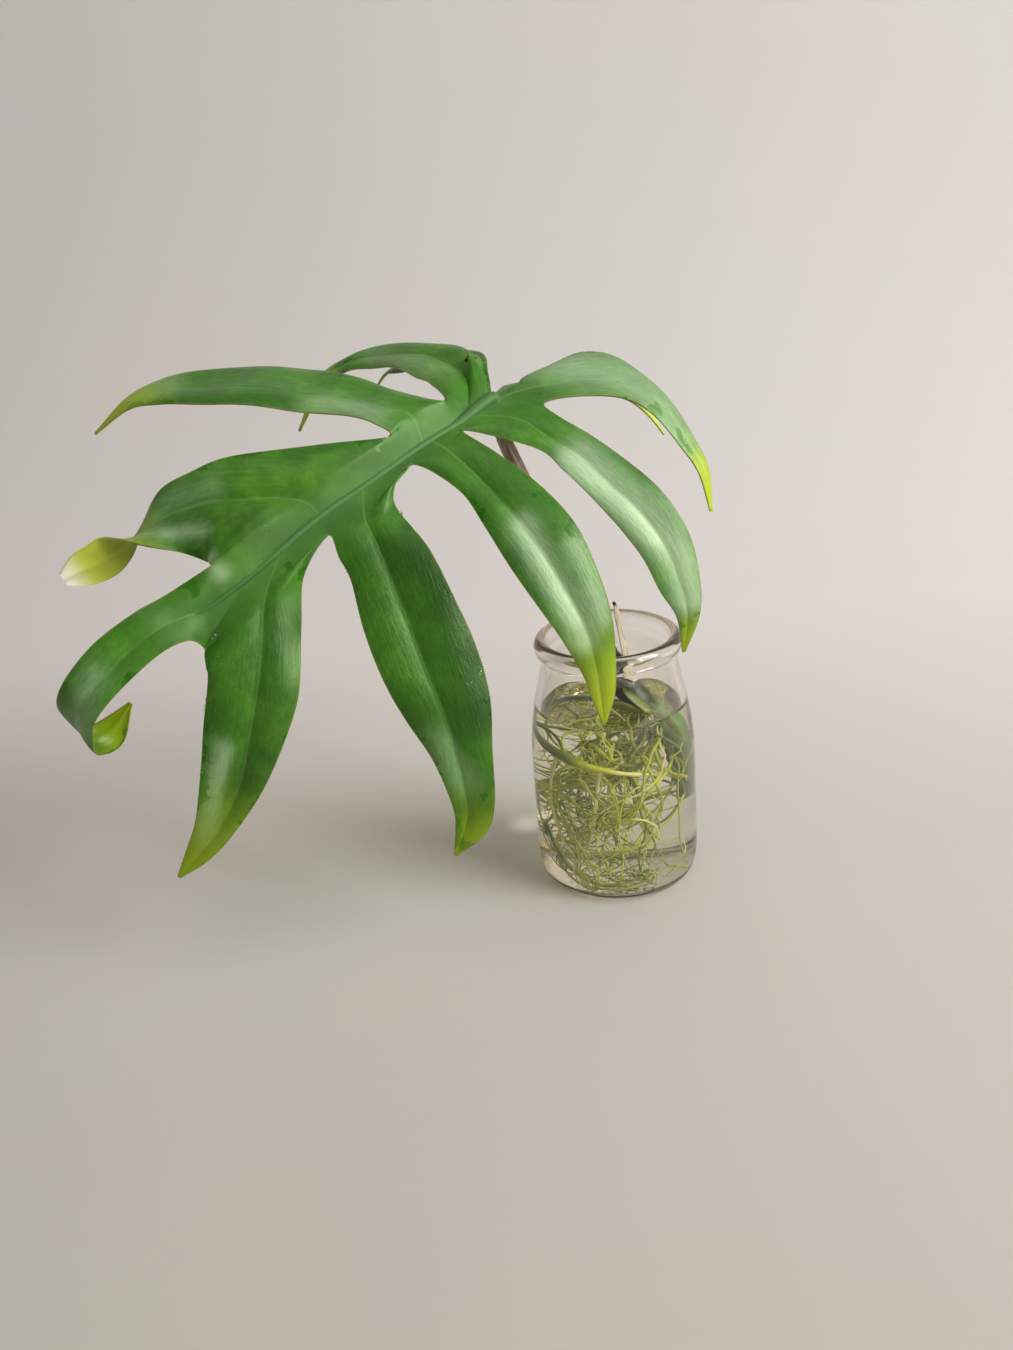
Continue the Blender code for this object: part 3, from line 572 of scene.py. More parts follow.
bpy.ops.object.mode_set(mode="EDIT")
bpy.ops.mesh.select_all(action="SELECT")
bpy.ops.mesh.normals_make_consistent(inside=False)
bpy.ops.object.mode_set(mode="OBJECT")
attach(sheath, "root")
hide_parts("sheath")

# THE LEAF
# One leathery, waxy blade, cut almost to its rib into eleven long lobes that arch over and hang.
# Each lobe folds at its own vein; its margin is a thin brown line and its tip turns yellow-green.
BLADE_THICK = 0.7
COLUMNS = 24
WEB_ROWS = 8
FREE_ROWS = 72
ROW_CROWDING = 1.15
DOME = 0.1
WAVE = 0.07
SWELL = 0.35                  # height of the low swells
SWELL_PACE = 0.07             # one swell in about 14 mm
TIP = 0.6
SLIT = 0.5
RACHIS = [(-37, 6, 196), (-50, -3, 190), (-66, -14, 184), (-83, -24, 176), (-100, -33, 168), (-116, -41, 158),
          (-129, -46, 150)]
RIB_END = [(-139, -49, 144.5), (-149, -53, 141)]
RIB_RADII = [2.6, 2.5, 2.4, 2, 1.8, 1.6, 1.5, 1.3, 1.2, 1, 0.5]
STUB_RUN = 5
BLADE_UP = (0.1, -0.5, 0.85)  # the way that the blade faces along its rib
NOTCHES = [(-26, 16, 199), (-18, 8, 192), (-48, -7, 188), (-67, -19, 180), (-97, -36, 162), (-142, -52, 131),
           (-136, -46, 158), (-74, -17, 190), (-54, -2, 198), (-44, 20, 210)]
# The lobes round the leaf, from its right base lobe by its tip to its left one. "ring" is where a lobe's foot
# ends on the walk round the rachis. "next" and "last" are the half widths towards the next lobe and the last
# one, from the vein's second point on; None is a margin that still runs out of its notch, and three numbers
# are a point of the margin itself. "across" is the way that the blade lies over the vein, from foot to tip.
# "ripe" is where along the lobe it begins to turn yellow, and "young" how pale a yellow that is.
LOBES = [
    # The right base lobe, at the back
    {"ripe": 0.6, "young": 0.5, "ring": 0.15,
     "vein": [(-28, 19, 196), (-14, 33, 194), (0, 43, 191), (13, 50, 186), (24, 55, 178), (32, 56, 166)],
     "next": [7, 8, 7, 5, TIP], "last": [7, 8, 7, 5, TIP],
     "across": [(-0.5, 0.85, 0.1), (0, 1, 0.1), (0.2, 0.9, 0)]},
    # The one that points right
    {"ripe": 0.68, "young": 0.32, "ring": 0.4,
     "vein": [(-24, 12, 197), (-11, 17, 197), (0, 20, 197), (11, 22, 194), (21, 22, 189), (29, 21, 182),
              (36, 18, 170), (41, 15, 160), (43, 12, 145)],
     "next": [8, 9, 9, 8, 7, 5, 3.5, TIP], "last": [12, 16, 16, 12, 7, 5, 3.5, TIP],
     "across": [(0.1, 0.9, 0.45), (0.25, 0.9, 0.35), (0.7, 0.7, 0.1)]},
    # The one that hangs down to the jar's lip on the right
    {"ripe": 0.82, "young": 0.1, "ring": 1.1,
     "vein": [(-29, 0, 189), (-19, -4, 183), (-8, -9, 176), (2, -14, 166), (12, -18, 156), (20, -21, 144),
              (25, -22, 130), (28, -20, 116), (27, -16, 100)],
     "next": [6, 8, 8, 9, 9, 8, 4, TIP], "last": [9, 9, 11, 11, 10, 8, 5, TIP],
     "across": [(0.3, 0.7, 0.6), (0.75, 0.3, 0.5), (1, 0.1, 0)]},
    # The one that hangs in front of the jar
    {"ripe": 0.55, "young": 0.25, "ring": 2.2,
     "vein": [(-54, -15, 183), (-45, -21, 175), (-35, -28, 164), (-25, -35, 151), (-17, -40, 136), (-11, -43, 122),
              (-8, -43, 106), (-7, -41, 95), (-6, -39, 84)],
     "next": [8, 10, 12, 11, 9, 5, 3, TIP], "last": [11, 14, 15, 13, 10, 7, 5, TIP],
     "across": [(0.55, 0.5, 0.65), (0.85, 0.2, 0.45), (1, 0, 0.1)]},
    # The one that hangs lowest, left of the jar
    {"ripe": 0.7, "young": 0, "ring": 3.9,
     "vein": [(-84, -33, 166), (-81, -37, 159), (-78, -41, 151), (-73, -47, 135), (-68, -52, 118), (-63, -55, 101),
              (-60, -57, 84), (-58, -57, 65), (-60, -56, 54), (-64, -54, 43)],
     "next": [None, 13, 15, 15, 13, 8, 5, 3, TIP],
     "last": [(-73.9, -28.5, 170.5), 16, 18, 19, 17, 13, 10, 8, TIP],
     "across": [(0.9, 0.1, 0.4), (1, 0, 0.1), (1, 0, 0)]},
    # The one that hangs left of it
    {"ripe": 0.55, "young": 0, "ring": 5.5,
     "vein": [(-119, -46, 147), (-121, -49, 139), (-122, -52, 131), (-125, -56, 117), (-130, -59, 100),
              (-136, -60, 82), (-146, -60, 65), (-155, -59, 55), (-164, -58, 46)],
     "next": [None, None, 17, 16, 14, 9, 5, TIP],
     "last": [(-106.5, -39.5, 150), (-109, -46, 133.5), 14, 12, 8, 5, 4, TIP],
     "across": [(0.95, -0.1, 0.15), (1, 0, 0), (1, 0, 0)]},
    # The one at the rachis' end, which hooks round
    {"ripe": 0.7, "young": 0.1, "ring": 6.5,
     "vein": [(-140, -49, 144), (-149, -53, 142), (-158, -58, 139), (-170, -63, 131), (-181, -66, 121),
              (-187, -62, 112), (-186, -55, 102), (-180, -50, 102), (-171, -50, 112)],
     "next": [9, 9, 10, 9, 7, 6, 5, TIP], "last": [8, 7, 7, 7, 8, 7, 6, TIP],
     "across": [(0.4, -0.35, -0.85), (0.6, -0.25, -0.75), (0.5, -0.2, -0.85)]},
    # The left one, whose tip curls
    {"ripe": 0.5, "young": 1, "ring": 9.6,
     "vein": [(-104, -31, 173), (-114, -30, 175), (-124, -29, 175), (-133, -27, 175), (-141, -26, 174),
              (-152, -25, 171), (-162, -26, 166), (-171, -27, 161), (-178, -28, 157), (-185, -30, 155),
              (-191, -32, 153)],
     "next": [None, 17, 15, 12, 10, 7, 7, 9.5, 8, 3], "last": [None, None, None, 21, 15, 10, 8, 9.5, 8, 3],
     "across": [(0.2, -0.5, -0.85), (0.1, -0.55, -0.8), (0.1, -0.55, -0.8), (0.1, -0.55, -0.8), (0.1, -0.55, -0.8),
                (0.1, -0.5, -0.8), (0.15, -0.55, -0.75), (0.35, -0.85, -0.1), (0.2, -0.5, 0.8), (0.2, -0.45, 0.85),
                (0.2, -0.4, 0.9), (0.2, -0.4, 0.9)]},
    # The long one behind it
    {"ripe": 0.66, "young": 0.12, "ring": 10.8,
     "vein": [(-66, -9, 195), (-75, -6, 198), (-87, -2, 201), (-102, 2, 203), (-118, 6, 206), (-136, 9, 207),
              (-155, 12, 207), (-169, 13, 204), (-183, 12, 194)],
     "next": [11, 12, 15, 15, 12, 8, 4, TIP], "last": [10, 9, 9, 10, 10, 7, 4, TIP],
     "across": [(0.3, -0.85, -0.45), (0.1, -0.9, -0.42), (0.1, -0.9, -0.42)]},
    # The middle one at the back
    {"ripe": 0.7, "young": 0.2, "ring": 11.7,
     "vein": [(-45, 14, 201), (-50, 21, 205), (-57, 29, 208), (-67, 37, 209), (-78, 44, 208), (-91, 49, 206),
              (-103, 51, 199), (-114, 50, 181)],
     "next": [11, 11, 8, 7, 5, 5, TIP], "last": [12, 12, 9, 7, 5, 5, TIP],
     "across": [(-0.8, -0.5, -0.15), (-0.35, -0.85, -0.4), (0.3, -0.9, -0.3)]},
    # The left base lobe, at the back
    {"ripe": 0.7, "young": 0.2, "ring": 12,
     "vein": [(-39, 16, 203), (-41, 30, 208), (-55, 47, 206), (-69, 57, 203), (-77, 61, 199), (-83, 62, 193)],
     "next": [2, 4, 6, 4, TIP], "last": [8, 9, 8, 5, TIP],
     "across": [(-1, 0, 0), (-0.7, -0.6, -0.3), (-0.3, -0.9, -0.2)]},
]


def ring_point(place):
    """A point beside the rachis: down its right side to the end at 6 and back up its left side to 12."""
    far = len(RACHIS) - 1
    down = min(place, 2 * far - place)
    centre = smooth(RACHIS, down)
    along = unit(smooth(RACHIS, min(down + 0.05, far)) - smooth(RACHIS, max(down - 0.05, 0)))
    right = unit(np.cross(along, BLADE_UP))
    turn = math.pi / 2 * max(-1, min(1, (place - far) / 0.5))
    return centre + SLIT * (along * math.cos(turn) - right * math.sin(turn))


def margin_point(width, sign, vein_point, across):
    """Where the margin passes a vein point, from its half width or its own place; None is not given."""
    if width is None:
        return None
    if isinstance(width, tuple):
        return np.array(width, float)
    return vein_point + sign * width * across


def lobe_curves(index):
    """The three lines that a lobe hangs on, its next margin, vein and last margin."""
    lobe = LOBES[index]
    first = LOBES[index - 1]["ring"] if index else 0
    vein = [ring_point((first + lobe["ring"]) / 2)] + [np.array(p, float) for p in lobe["vein"]]
    along = np.gradient(np.array(vein), axis=0)
    across = []
    for i in range(len(vein)):
        wanted = smooth(lobe["across"], (len(lobe["across"]) - 1) * i / (len(vein) - 1))
        forward = unit(along[i])
        across.append(unit(wanted - (wanted @ forward) * forward))
    margins = []
    for sign, widths, notch in ((-1, lobe["next"], index), (1, lobe["last"], index - 1)):
        ends = [margin_point(width, sign, vein[i + 2], across[i + 2]) for i, width in enumerate(widths)]
        if 0 <= notch < len(NOTCHES):
            start = np.array(NOTCHES[notch], float)
        else:
            start = vein[1] + sign * widths[0] * 0.8 * across[1]
        given = [i for i, end in enumerate(ends) if end is not None][0]
        for i in range(given):
            ends[i] = start + (ends[given] - start) * (i + 1) / (given + 1)
        margins.append([start] + ends)
    return vein, margins, (first, lobe["ring"])


# Soft patches of painted sheen (above 0) and painted shade (below 0): the line they follow, their reach and strength
PAINTED_LIGHT_PATCHES = [
    ([(-30, -32, 158), (-24, -38, 146), (-17, -42, 132), (-12, -44, 119)], 5, 0.85),
    ([(-13, -36, 151), (-8, -40, 138), (-5, -42, 126)], 4, 0.6),
    ([(-8, -9, 174), (7, -17, 160), (17, -20, 149), (26, -22, 138), (29, -21, 122)], 7, 0.95),
    ([(-3, 24, 201), (12, 24, 196), (26, 21, 185), (34, 18, 172)], 12, 0.5),
    ([(-153, -61, 62), (-146, -62, 77), (-139, -61, 96)], 4, 0.6),
    ([(-176, -65, 129), (-181, -67, 121), (-184, -65, 112)], 5, 0.3),
    ([(-166, -30, 162), (-155, -29, 165), (-145, -31, 166), (-136, -34, 166)], 2.8, 0.5),
    ([(-172, 15, 204), (-155, 15, 209)], 6, 0.4),
    ([(-98, -4, 202), (-80, -11, 197)], 7, 0.4),
    ([(-66, -40, 156), (-57, -49, 136), (-51, -52, 118), (-48, -56, 97)], 9, -1.0),
    ([(-114, -48, 137), (-116, -55, 118), (-125, -60, 98), (-136, -60, 78)], 7, -0.5),
    ([(-122, -40, 166), (-110, -40, 164), (-98, -36, 166)], 7, -0.5),
    ([(-133, -46, 155), (-136, -42, 158)], 3, 0.6),
    ([(-164, -25, 170), (-151, -24, 176), (-135, -25, 179)], 5, 0.2),
    ([(-122, -38, 170), (-129, -35, 172)], 5, -0.5),
    ([(-63, -58, 90), (-59, -58, 76)], 7, 0.28),
    ([(-80, 46, 209), (-70, 33, 208), (-61, 21, 206)], 7, 0.25),
    ([(-149, 10, 208), (-127, 10, 209), (-105, 6, 207)], 5, 0.13),
    ([(-25, 14, 203), (-8, 26, 203)], 6, 0.2),
    ([(-14, -12, 176), (-4, -18, 168), (6, -22, 158), (13, -25, 148)], 5, 0.3),
]
curves = [lobe_curves(index) for index in range(len(LOBES))]
points, faces, known, corners = [], [], {}, []
along_lobe, youth, vein_lines = [], [], []


def vertex(key, point, along, lobe):
    """The number of a vertex that neighbouring lobes share by its key."""
    if key not in known:
        known[key] = len(points)
        points.append(point)
        begin = LOBES[lobe]["ripe"]
        along_lobe.append(max(0.0, (along - begin) / (1 - begin)))
        youth.append(LOBES[lobe]["young"] if along > 0 else 0.0)
    return known[key]


half = COLUMNS // 2
for index, (vein, (next_side, last_side), (low, high)) in enumerate(curves):
    ahead = curves[index + 1][1][1][1] if index + 1 < len(curves) else 2 * next_side[0] - next_side[1]
    behind = curves[index - 1][1][0][1] if index else 2 * last_side[0] - last_side[1]
    next_side, last_side = [ahead] + next_side, [behind] + last_side
    count = len(vein) - 1
    rows, charts, run, before = [], [], 0.0, None
    for row in range(WEB_ROWS + FREE_ROWS + 1):
        free = (max(0, row - WEB_ROWS) / FREE_ROWS) ** ROW_CROWDING
        where = min(1, row / WEB_ROWS) + free * (count - 1)
        middle = smooth(vein, where)
        run += 0 if before is None else float(np.linalg.norm(middle - before))
        before = middle
        vein_lines.append(middle)
        if row <= WEB_ROWS:
            part = row / WEB_ROWS
            edges = [ring_point(high) * (1 - part) + next_side[1] * part,
                     ring_point(low) * (1 - part) + last_side[1] * part]
        else:
            edges = [smooth(next_side, where), smooth(last_side, where)]
        forward = smooth(vein, min(count, where + 0.1)) - smooth(vein, max(0, where - 0.1))
        up = unit(np.cross(forward, edges[1] - edges[0]))
        calm = min(1, free * 4) * min(1, (1 - free) * 4)
        line, chart = [], []
        for column in range(COLUMNS + 1):
            side = abs(column - half) / half
            edge = edges[0] if column < half else edges[1]
            width = float(np.linalg.norm(edge - middle))
            chart.append((math.copysign(side * width, column - half), run))
            if row == 0:
                foot_place = high + (low - high) * column / COLUMNS
                line.append(vertex(("ring", round(foot_place, 4)), ring_point(foot_place), 0.0, index))
                continue
            rise = min(1, row / (WEB_ROWS * 2)) ** 1.5
            lift = DOME * width * 4 * side * (1 - side) * rise
            phase = 2.1 * index + (0 if column < half else 1.7)
            lift += WAVE * width * side ** 2 * calm * math.sin(1.9 * (where - 1) * 8 / count + phase)
            flat = middle + (edge - middle) * side
            # Low swells about 14 mm across, as a leathery blade has between its side veins
            swell = noise.noise(Vector(flat) * SWELL_PACE + Vector((index, 0, 0)))
            lift += SWELL * min(1, row / WEB_ROWS) * calm * swell
            key = (index, row, column)
            if row <= WEB_ROWS and column in (0, COLUMNS):
                key = ("web", index if column == 0 else index - 1, row)
            line.append(vertex(key, flat + up * lift, free, index))
        rows.append(line)
        charts.append(chart)
    for r in range(len(rows) - 1):
        for c in range(COLUMNS):
            faces.append((rows[r][c], rows[r + 1][c], rows[r + 1][c + 1], rows[r][c + 1]))
            corners.append((charts[r][c], charts[r + 1][c], charts[r + 1][c + 1], charts[r][c + 1]))

sheet = bpy.data.meshes.new("leaf")
sheet.from_pydata([tuple(float(c) * MM for c in p) for p in points], [], faces)
# The chart counts centimetres, across the lobe from its vein and along it
chart = sheet.uv_layers.new(name="blade")
for polygon, places in zip(sheet.polygons, corners):
    for loop, (u, v) in zip(polygon.loop_indices, places):
        chart.data[loop].uv = (u / 10, v / 10)


def nearest(lines, targets, far):
    """Each target's distance in millimetres to the nearest of the points in lines, at most far."""
    search = KDTree(len(lines))
    for i, point in enumerate(lines):
        search.insert(Vector(point), i)
    search.balance()
    return [min(far, search.find(Vector(t))[2]) for t in targets]


def painted_sheen_and_shade(targets):
    """Painted sheen above 0 and painted shade below 0 at each target: the sum of the soft patches that it lies in."""
    targets = np.array(targets)
    total = np.zeros(len(targets))
    for line, far, strength in PAINTED_LIGHT_PATCHES:
        ends = np.array(line, float)
        near = np.full(len(targets), 1e9)
        for start, step in zip(ends, np.diff(ends, axis=0)):
            part = np.clip((targets - start) @ step / (step @ step), 0, 1)
            near = np.minimum(near, np.linalg.norm(targets - start - part[:, None] * step, axis=1))
        total += strength * np.exp(-(near / far) ** 2)
    return np.clip(total, -1, 1)


rim_edges = {}
for face in faces:
    for a, b in zip(face, face[1:] + face[:1]):
        rim_edges[frozenset((a, b))] = rim_edges.get(frozenset((a, b)), 0) + 1
rim_points = [points[a] * (1 - t) + points[b] * t for a, b in
              (tuple(edge) for edge, times in rim_edges.items() if times == 1 and len(edge) == 2)
              for t in (0, 0.25, 0.5, 0.75)]
# The slit under the rib is not a margin
rachis_line = [smooth(RACHIS, k / 4) for k in range(25)]
rim_points = [p for p in rim_points if min(np.linalg.norm(p - q) for q in rachis_line) >= 3]
rib_points = [smooth(RACHIS + RIB_END, 8 * k / 160) for k in range(161)]
rib_points += [smooth([PETIOLE[0], RACHIS[0]], k / 8) for k in range(9)]
# The pale attribute carries the painted sheen and painted shade of the patches
for label, values in (("margin", nearest(rim_points, points, 12)), ("vein", nearest(vein_lines, points, 12)),
                      ("rib", nearest(rib_points, points, 20)), ("ripe", along_lobe), ("young", youth),
                      ("pale", painted_sheen_and_shade(points))):
    sheet.attributes.new(label, "FLOAT", "POINT").data.foreach_set("value", values)
leaf = placed("lobed_leaf", sheet)
skin_depth = leaf.modifiers.new("thickness", "SOLIDIFY")
skin_depth.thickness = BLADE_THICK * MM
skin_depth.offset = 0
skin_depth.material_offset = 1
skin_depth.material_offset_rim = 2
bpy.ops.object.modifier_apply(modifier=skin_depth.name)
bpy.ops.object.shade_smooth_by_angle(angle=math.radians(60))


def leaf_finish(name, underside):
    """The blade's skin, glossy above and matt below; both read the same attributes and the lobe's own chart."""
    made, tree = new_material(name)
    place = add(tree, "TexCoord").outputs["Object"]
    chart = add(tree, "UVMap", uv_map="blade")
    read = {label: add(tree, "Attribute", attribute_name=label).outputs["Fac"]
            for label in ("margin", "vein", "rib", "ripe", "young", "pale")}
    # Clouds of lighter green about 24 mm across and finer, and a grain of 1 mm in the skin
    clouds = add(tree, "TexNoise", {"Vector": place, "Scale": 42.0, "Detail": 9.0, "Roughness": 0.67})
    grain = add(tree, "TexNoise", {"Vector": place, "Scale": 900.0, "Detail": 3.0})
    if underside:
        stops = [(0.3, "#5b8a2a"), (0.7, "#7da63a")]
    else:
        stops = [(0.28, "#2d5c12"), (0.45, "#376c17"), (0.6, "#46801d"), (0.78, "#5f9a2b")]
    green = add(tree, "ValToRGB", [clouds], stops=stops)
    # Fine streaks about 1 mm wide that run along the lobe, as the blade unrolled
    drawn = add(tree, "Mapping", {"Vector": chart, "Scale": (9.0, 1.6, 1.0)})
    streaks = add(tree, "TexNoise", {"Vector": drawn, "Scale": 1.0, "Detail": 7.0, "Roughness": 0.68,
        "Distortion": 0.4})
    away = add(tree, "MapRange", [read["rib"], 9.0, 18.0, 0.0, 1.0])
    even = add(tree, "Mix", [away, 0.5, streaks], data_type="FLOAT")
    streaked = add(tree, "Mix", [0.6, green, even], data_type="RGBA", blend_type="OVERLAY")
    # Side veins leave the midvein at about 45 degrees, one every 5 mm
    split = add(tree, "SeparateXYZ", [chart])
    out = add(tree, "Math", [split.outputs["X"]], operation="ABSOLUTE")
    slant = add(tree, "Math", [out, -0.95, split.outputs["Y"]], operation="MULTIPLY_ADD")
    wobble = add(tree, "Math", [clouds, 0.5, slant], operation="MULTIPLY_ADD")
    wave = add(tree, "Math", [wobble, 4 * math.pi], operation="MULTIPLY")
    ripple = add(tree, "Math", [wave], operation="SINE")
    side_vein = add(tree, "MapRange", [ripple, 0.8, 1.0, 0.0, 0.035])
    veined = add(tree, "Mix", [side_vein, streaked, "#86b45e"], data_type="RGBA")
    # The midvein is a pale line 0.6 mm to each side, and wax with a painted sheen greys the blade up to 9 mm from the
    # rib
    line = add(tree, "MapRange", [read["vein"], 0.1, 0.6, 0.3, 0.0])
    with_line = add(tree, "Mix", [line, veined, "#84a85c"], data_type="RGBA")
    wax_and_sheen = add(tree, "MapRange", [read["rib"], 1.5, 9.0, 0.3, 0.0], interpolation_type="SMOOTHSTEP")
    with_wax_and_sheen = add(tree, "Mix", [wax_and_sheen, with_line, "#5c8446"], data_type="RGBA")
    # Painted sheen and painted shade: some lobes are lighter in streaks and others deeper green, as the pale attribute
    # says, between -1 and 1
    painted_shade_part = add(tree, "MapRange", [read["pale"], -1.0, 0.0, 0.7, 0.0])
    with_painted_shade = add(tree, "Mix", [painted_shade_part, with_wax_and_sheen, "#1c4410"], data_type="RGBA")
    streaky = add(tree, "Math", [even, 1.2, 0.4], operation="MULTIPLY_ADD")
    uneven = add(tree, "Math", [read["pale"], streaky], operation="MULTIPLY")
    painted_sheen_part = add(tree, "MapRange", [uneven, 0.0, 1.0, 0.0, 0.85])
    with_painted_sheen = add(tree, "Mix", [painted_sheen_part, with_painted_shade, "#c0daac"], data_type="RGBA")
    # The tip ripens to yellow-green, and the one that curls furthest to cream
    stops = [(0.0, "#a5ac0c" if underside else "#8aa404"), (0.5, "#cfe23c"), (1.0, "#dfe24c")]
    ripe_hue = add(tree, "ValToRGB", [read["young"]], stops=stops)
    shifted = add(tree, "Math", [clouds, 0.5, read["ripe"]], operation="MULTIPLY_ADD")
    ripe = add(tree, "MapRange", [shifted, 0.25, 1.0, 0.0, 0.95], interpolation_type="SMOOTHSTEP")
    with_ripe = add(tree, "Mix", [ripe, with_painted_sheen, ripe_hue], data_type="RGBA")
    late = add(tree, "Math", [read["young"], read["ripe"]], operation="MULTIPLY")
    cream = add(tree, "MapRange", [late, 0.68, 1.0], interpolation_type="SMOOTHSTEP")
    with_tip = add(tree, "Mix", [cream, with_ripe, "#fffae4"], data_type="RGBA")
    rim_line = add(tree, "MapRange", [read["margin"], 0.15, 0.6, 0.75, 0.0])
    aged = add(tree, "Math", [1.0, late], operation="SUBTRACT")
    rim = add(tree, "Math", [rim_line, aged], operation="MULTIPLY")
    with_rim = add(tree, "Mix", [rim, with_tip, "#7f7a34"], data_type="RGBA")
    # Water lies in thin patches near the margins and makes the green deeper and the skin smoother
    film = add(tree, "TexNoise", {"Vector": place, "Scale": 75.0, "Detail": 6.0, "Roughness": 0.55})
    near = add(tree, "MapRange", [read["margin"], 0.0, 9.0, 0.1, -0.1])
    wetness = add(tree, "Math", [film, near], operation="ADD")
    unripe = add(tree, "Math", [late, -0.4, wetness], operation="MULTIPLY_ADD")
    wet = add(tree, "MapRange", [unripe, 0.66, 0.68, 0.0, 0.7])
    deeper = add(tree, "Mix", [wet, with_rim, "#a2d88a"], data_type="RGBA", blend_type="MULTIPLY")
    shine = add(tree, "MapRange", [clouds, 0.0, 1.0, 0.6 if underside else 0.26, 0.7 if underside else 0.42])
    # Wax makes the skin duller towards the rib
    waxy = add(tree, "MapRange", [read["rib"], 2.0, 17.0, 0.75, 0.0], interpolation_type="SMOOTHSTEP")
    gloss = add(tree, "Mix", [waxy, shine, 0.62], data_type="FLOAT")
    smoother = add(tree, "Mix", [wet, gloss, 0.1 if not underside else 0.5], data_type="FLOAT")
    heights = add(tree, "Math", [grain, 0.25, side_vein], operation="MULTIPLY_ADD")
    rough = add(tree, "Math", [even, 1.4, heights], operation="MULTIPLY_ADD")
    bump = add(tree, "Bump", {"Strength": 0.45, "Distance": 0.0003, "Height": rough})
    surface = add(tree, "BsdfPrincipled", {"Base Color": with_rim if underside else deeper,
        "Specular Tint": "#dcf2c0", "Roughness": shine if underside else smoother, "Normal": bump,
        "Subsurface Weight": 0.3, "Subsurface Radius": (0.5, 1.0, 0.15), "Subsurface Scale": 0.0012})
    add(tree, "OutputMaterial", [surface])
    return made


margin_skin, tree = new_material("leaf margin, thin and brown")
place = add(tree, "TexCoord").outputs["Object"]
fleck = add(tree, "TexNoise", {"Vector": place, "Scale": 300.0, "Detail": 3.0})
brown = add(tree, "ValToRGB", [fleck], stops=[(0.35, "#6e5128"), (0.6, "#8c8038"), (0.75, "#a4a84c")])
young = add(tree, "Attribute", attribute_name="young").outputs["Fac"]
ripe = add(tree, "Attribute", attribute_name="ripe").outputs["Fac"]
late = add(tree, "Math", [young, ripe], operation="MULTIPLY")
brown_or_pale = add(tree, "Mix", [late, brown, "#d9dc7c"], data_type="RGBA")
surface = add(tree, "BsdfPrincipled", {"Base Color": brown_or_pale, "Roughness": 0.5})
add(tree, "OutputMaterial", [surface])
for finish in (leaf_finish("leaf, waxy upper skin", False), leaf_finish("leaf, matt lower skin", True), margin_skin):
    leaf.data.materials.append(finish)
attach(leaf, "root")
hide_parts("leaf_blade")

# THE RIB
# The leaf's main rib, which runs on from the petiole under the blade and stands a little proud of it.
# It is the same green skin, greyed by wax, and fades into the last lobe.
RIB_DROP = 0.7                # how far the rib's middle lies below the blade
upward = PETIOLE[::-1]
rib_route = [beyond(upward, 0.2), beyond(upward, STUB_RUN)] + RACHIS + RIB_END
rib_steps = 12 * (len(rib_route) - 1)
rib_skin, tree = new_material("leaf rib, waxed green")
place = add(tree, "TexCoord").outputs["Object"]
along = add(tree, "Attribute", attribute_name="along").outputs["Fac"]
bloom = add(tree, "TexNoise", {"Vector": place, "Scale": 120.0, "Detail": 5.0})
stops = [(0.02, "#6b504a"), (0.08, "#52603c"), (0.18, "#44703a"), (0.9, "#386c28")]
length_hue = add(tree, "ValToRGB", [along], stops=stops)
waxed = add(tree, "Mix", [bloom, length_hue, "#587f48"], data_type="RGBA")
half_waxed = add(tree, "Mix", [0.6, length_hue, waxed], data_type="RGBA")
bump = add(tree, "Bump", {"Strength": 0.3, "Distance": 0.0003, "Height": bloom})
surface = add(tree, "BsdfPrincipled", {"Base Color": half_waxed, "Roughness": 0.55, "Normal": bump,
    "Specular Tint": "#dcf2c0"})
add(tree, "OutputMaterial", [surface])
rib_line = resample(rib_route, rib_steps)
for step, point in enumerate(rib_line):
    lower = min(1, max(0, (step - 24) / 12)) * RIB_DROP
    rib_line[step] = point - lower * unit(BLADE_UP)
rib = build("leaf_rib", [rod(rib_line, spread(RIB_RADII, rib_steps), 20, 0.5)], rib_skin)
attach(rib, "root")
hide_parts("leaf_blade")

# THE DROPS
# Water left on the leaf when it was rinsed. It stands in small round beads near the margins, and each
# bead sits flat on the waxy skin.
DROP_SEED = 3
DROP_RADIUS = 1.1             # of the largest
# Each cluster: its middle, how many drops, and how far they spread
DROP_CLUSTERS = [((-48, -54, 106), 6, 5), ((-49, -53, 113), 4, 4), ((-53, -53, 116), 1, 1), ((-133, -59, 105), 2, 3),
                 ((-138, -52, 132), 6, 4), ((-144, -57, 112), 3, 6), ((-111, -52, 124), 1, 3), ((-122, -57, 115), 2, 7),
                 ((-118, -37, 170), 2, 6), ((-72, -34, 165), 2, 7), ((-146, -61, 85), 2, 4), ((-93, -45, 150), 2, 8)]
skin_tree = BVHTree.FromPolygons([v.co.copy() for v in leaf.data.vertices],
                                 [tuple(p.vertices) for p in leaf.data.polygons])
luck = random.Random(DROP_SEED)
bpy.ops.object.select_all(action="DESELECT")
bpy.ops.mesh.primitive_uv_sphere_add(segments=20, ring_count=12, radius=1, location=(0, 0, 0))
bead = bpy.context.active_object
bpy.ops.object.mode_set(mode="EDIT")
bpy.ops.mesh.select_all(action="SELECT")
bpy.ops.mesh.bisect(plane_co=(0, 0, -0.25), plane_no=(0, 0, 1), clear_inner=True, use_fill=True)
bpy.ops.object.mode_set(mode="OBJECT")
beads = []
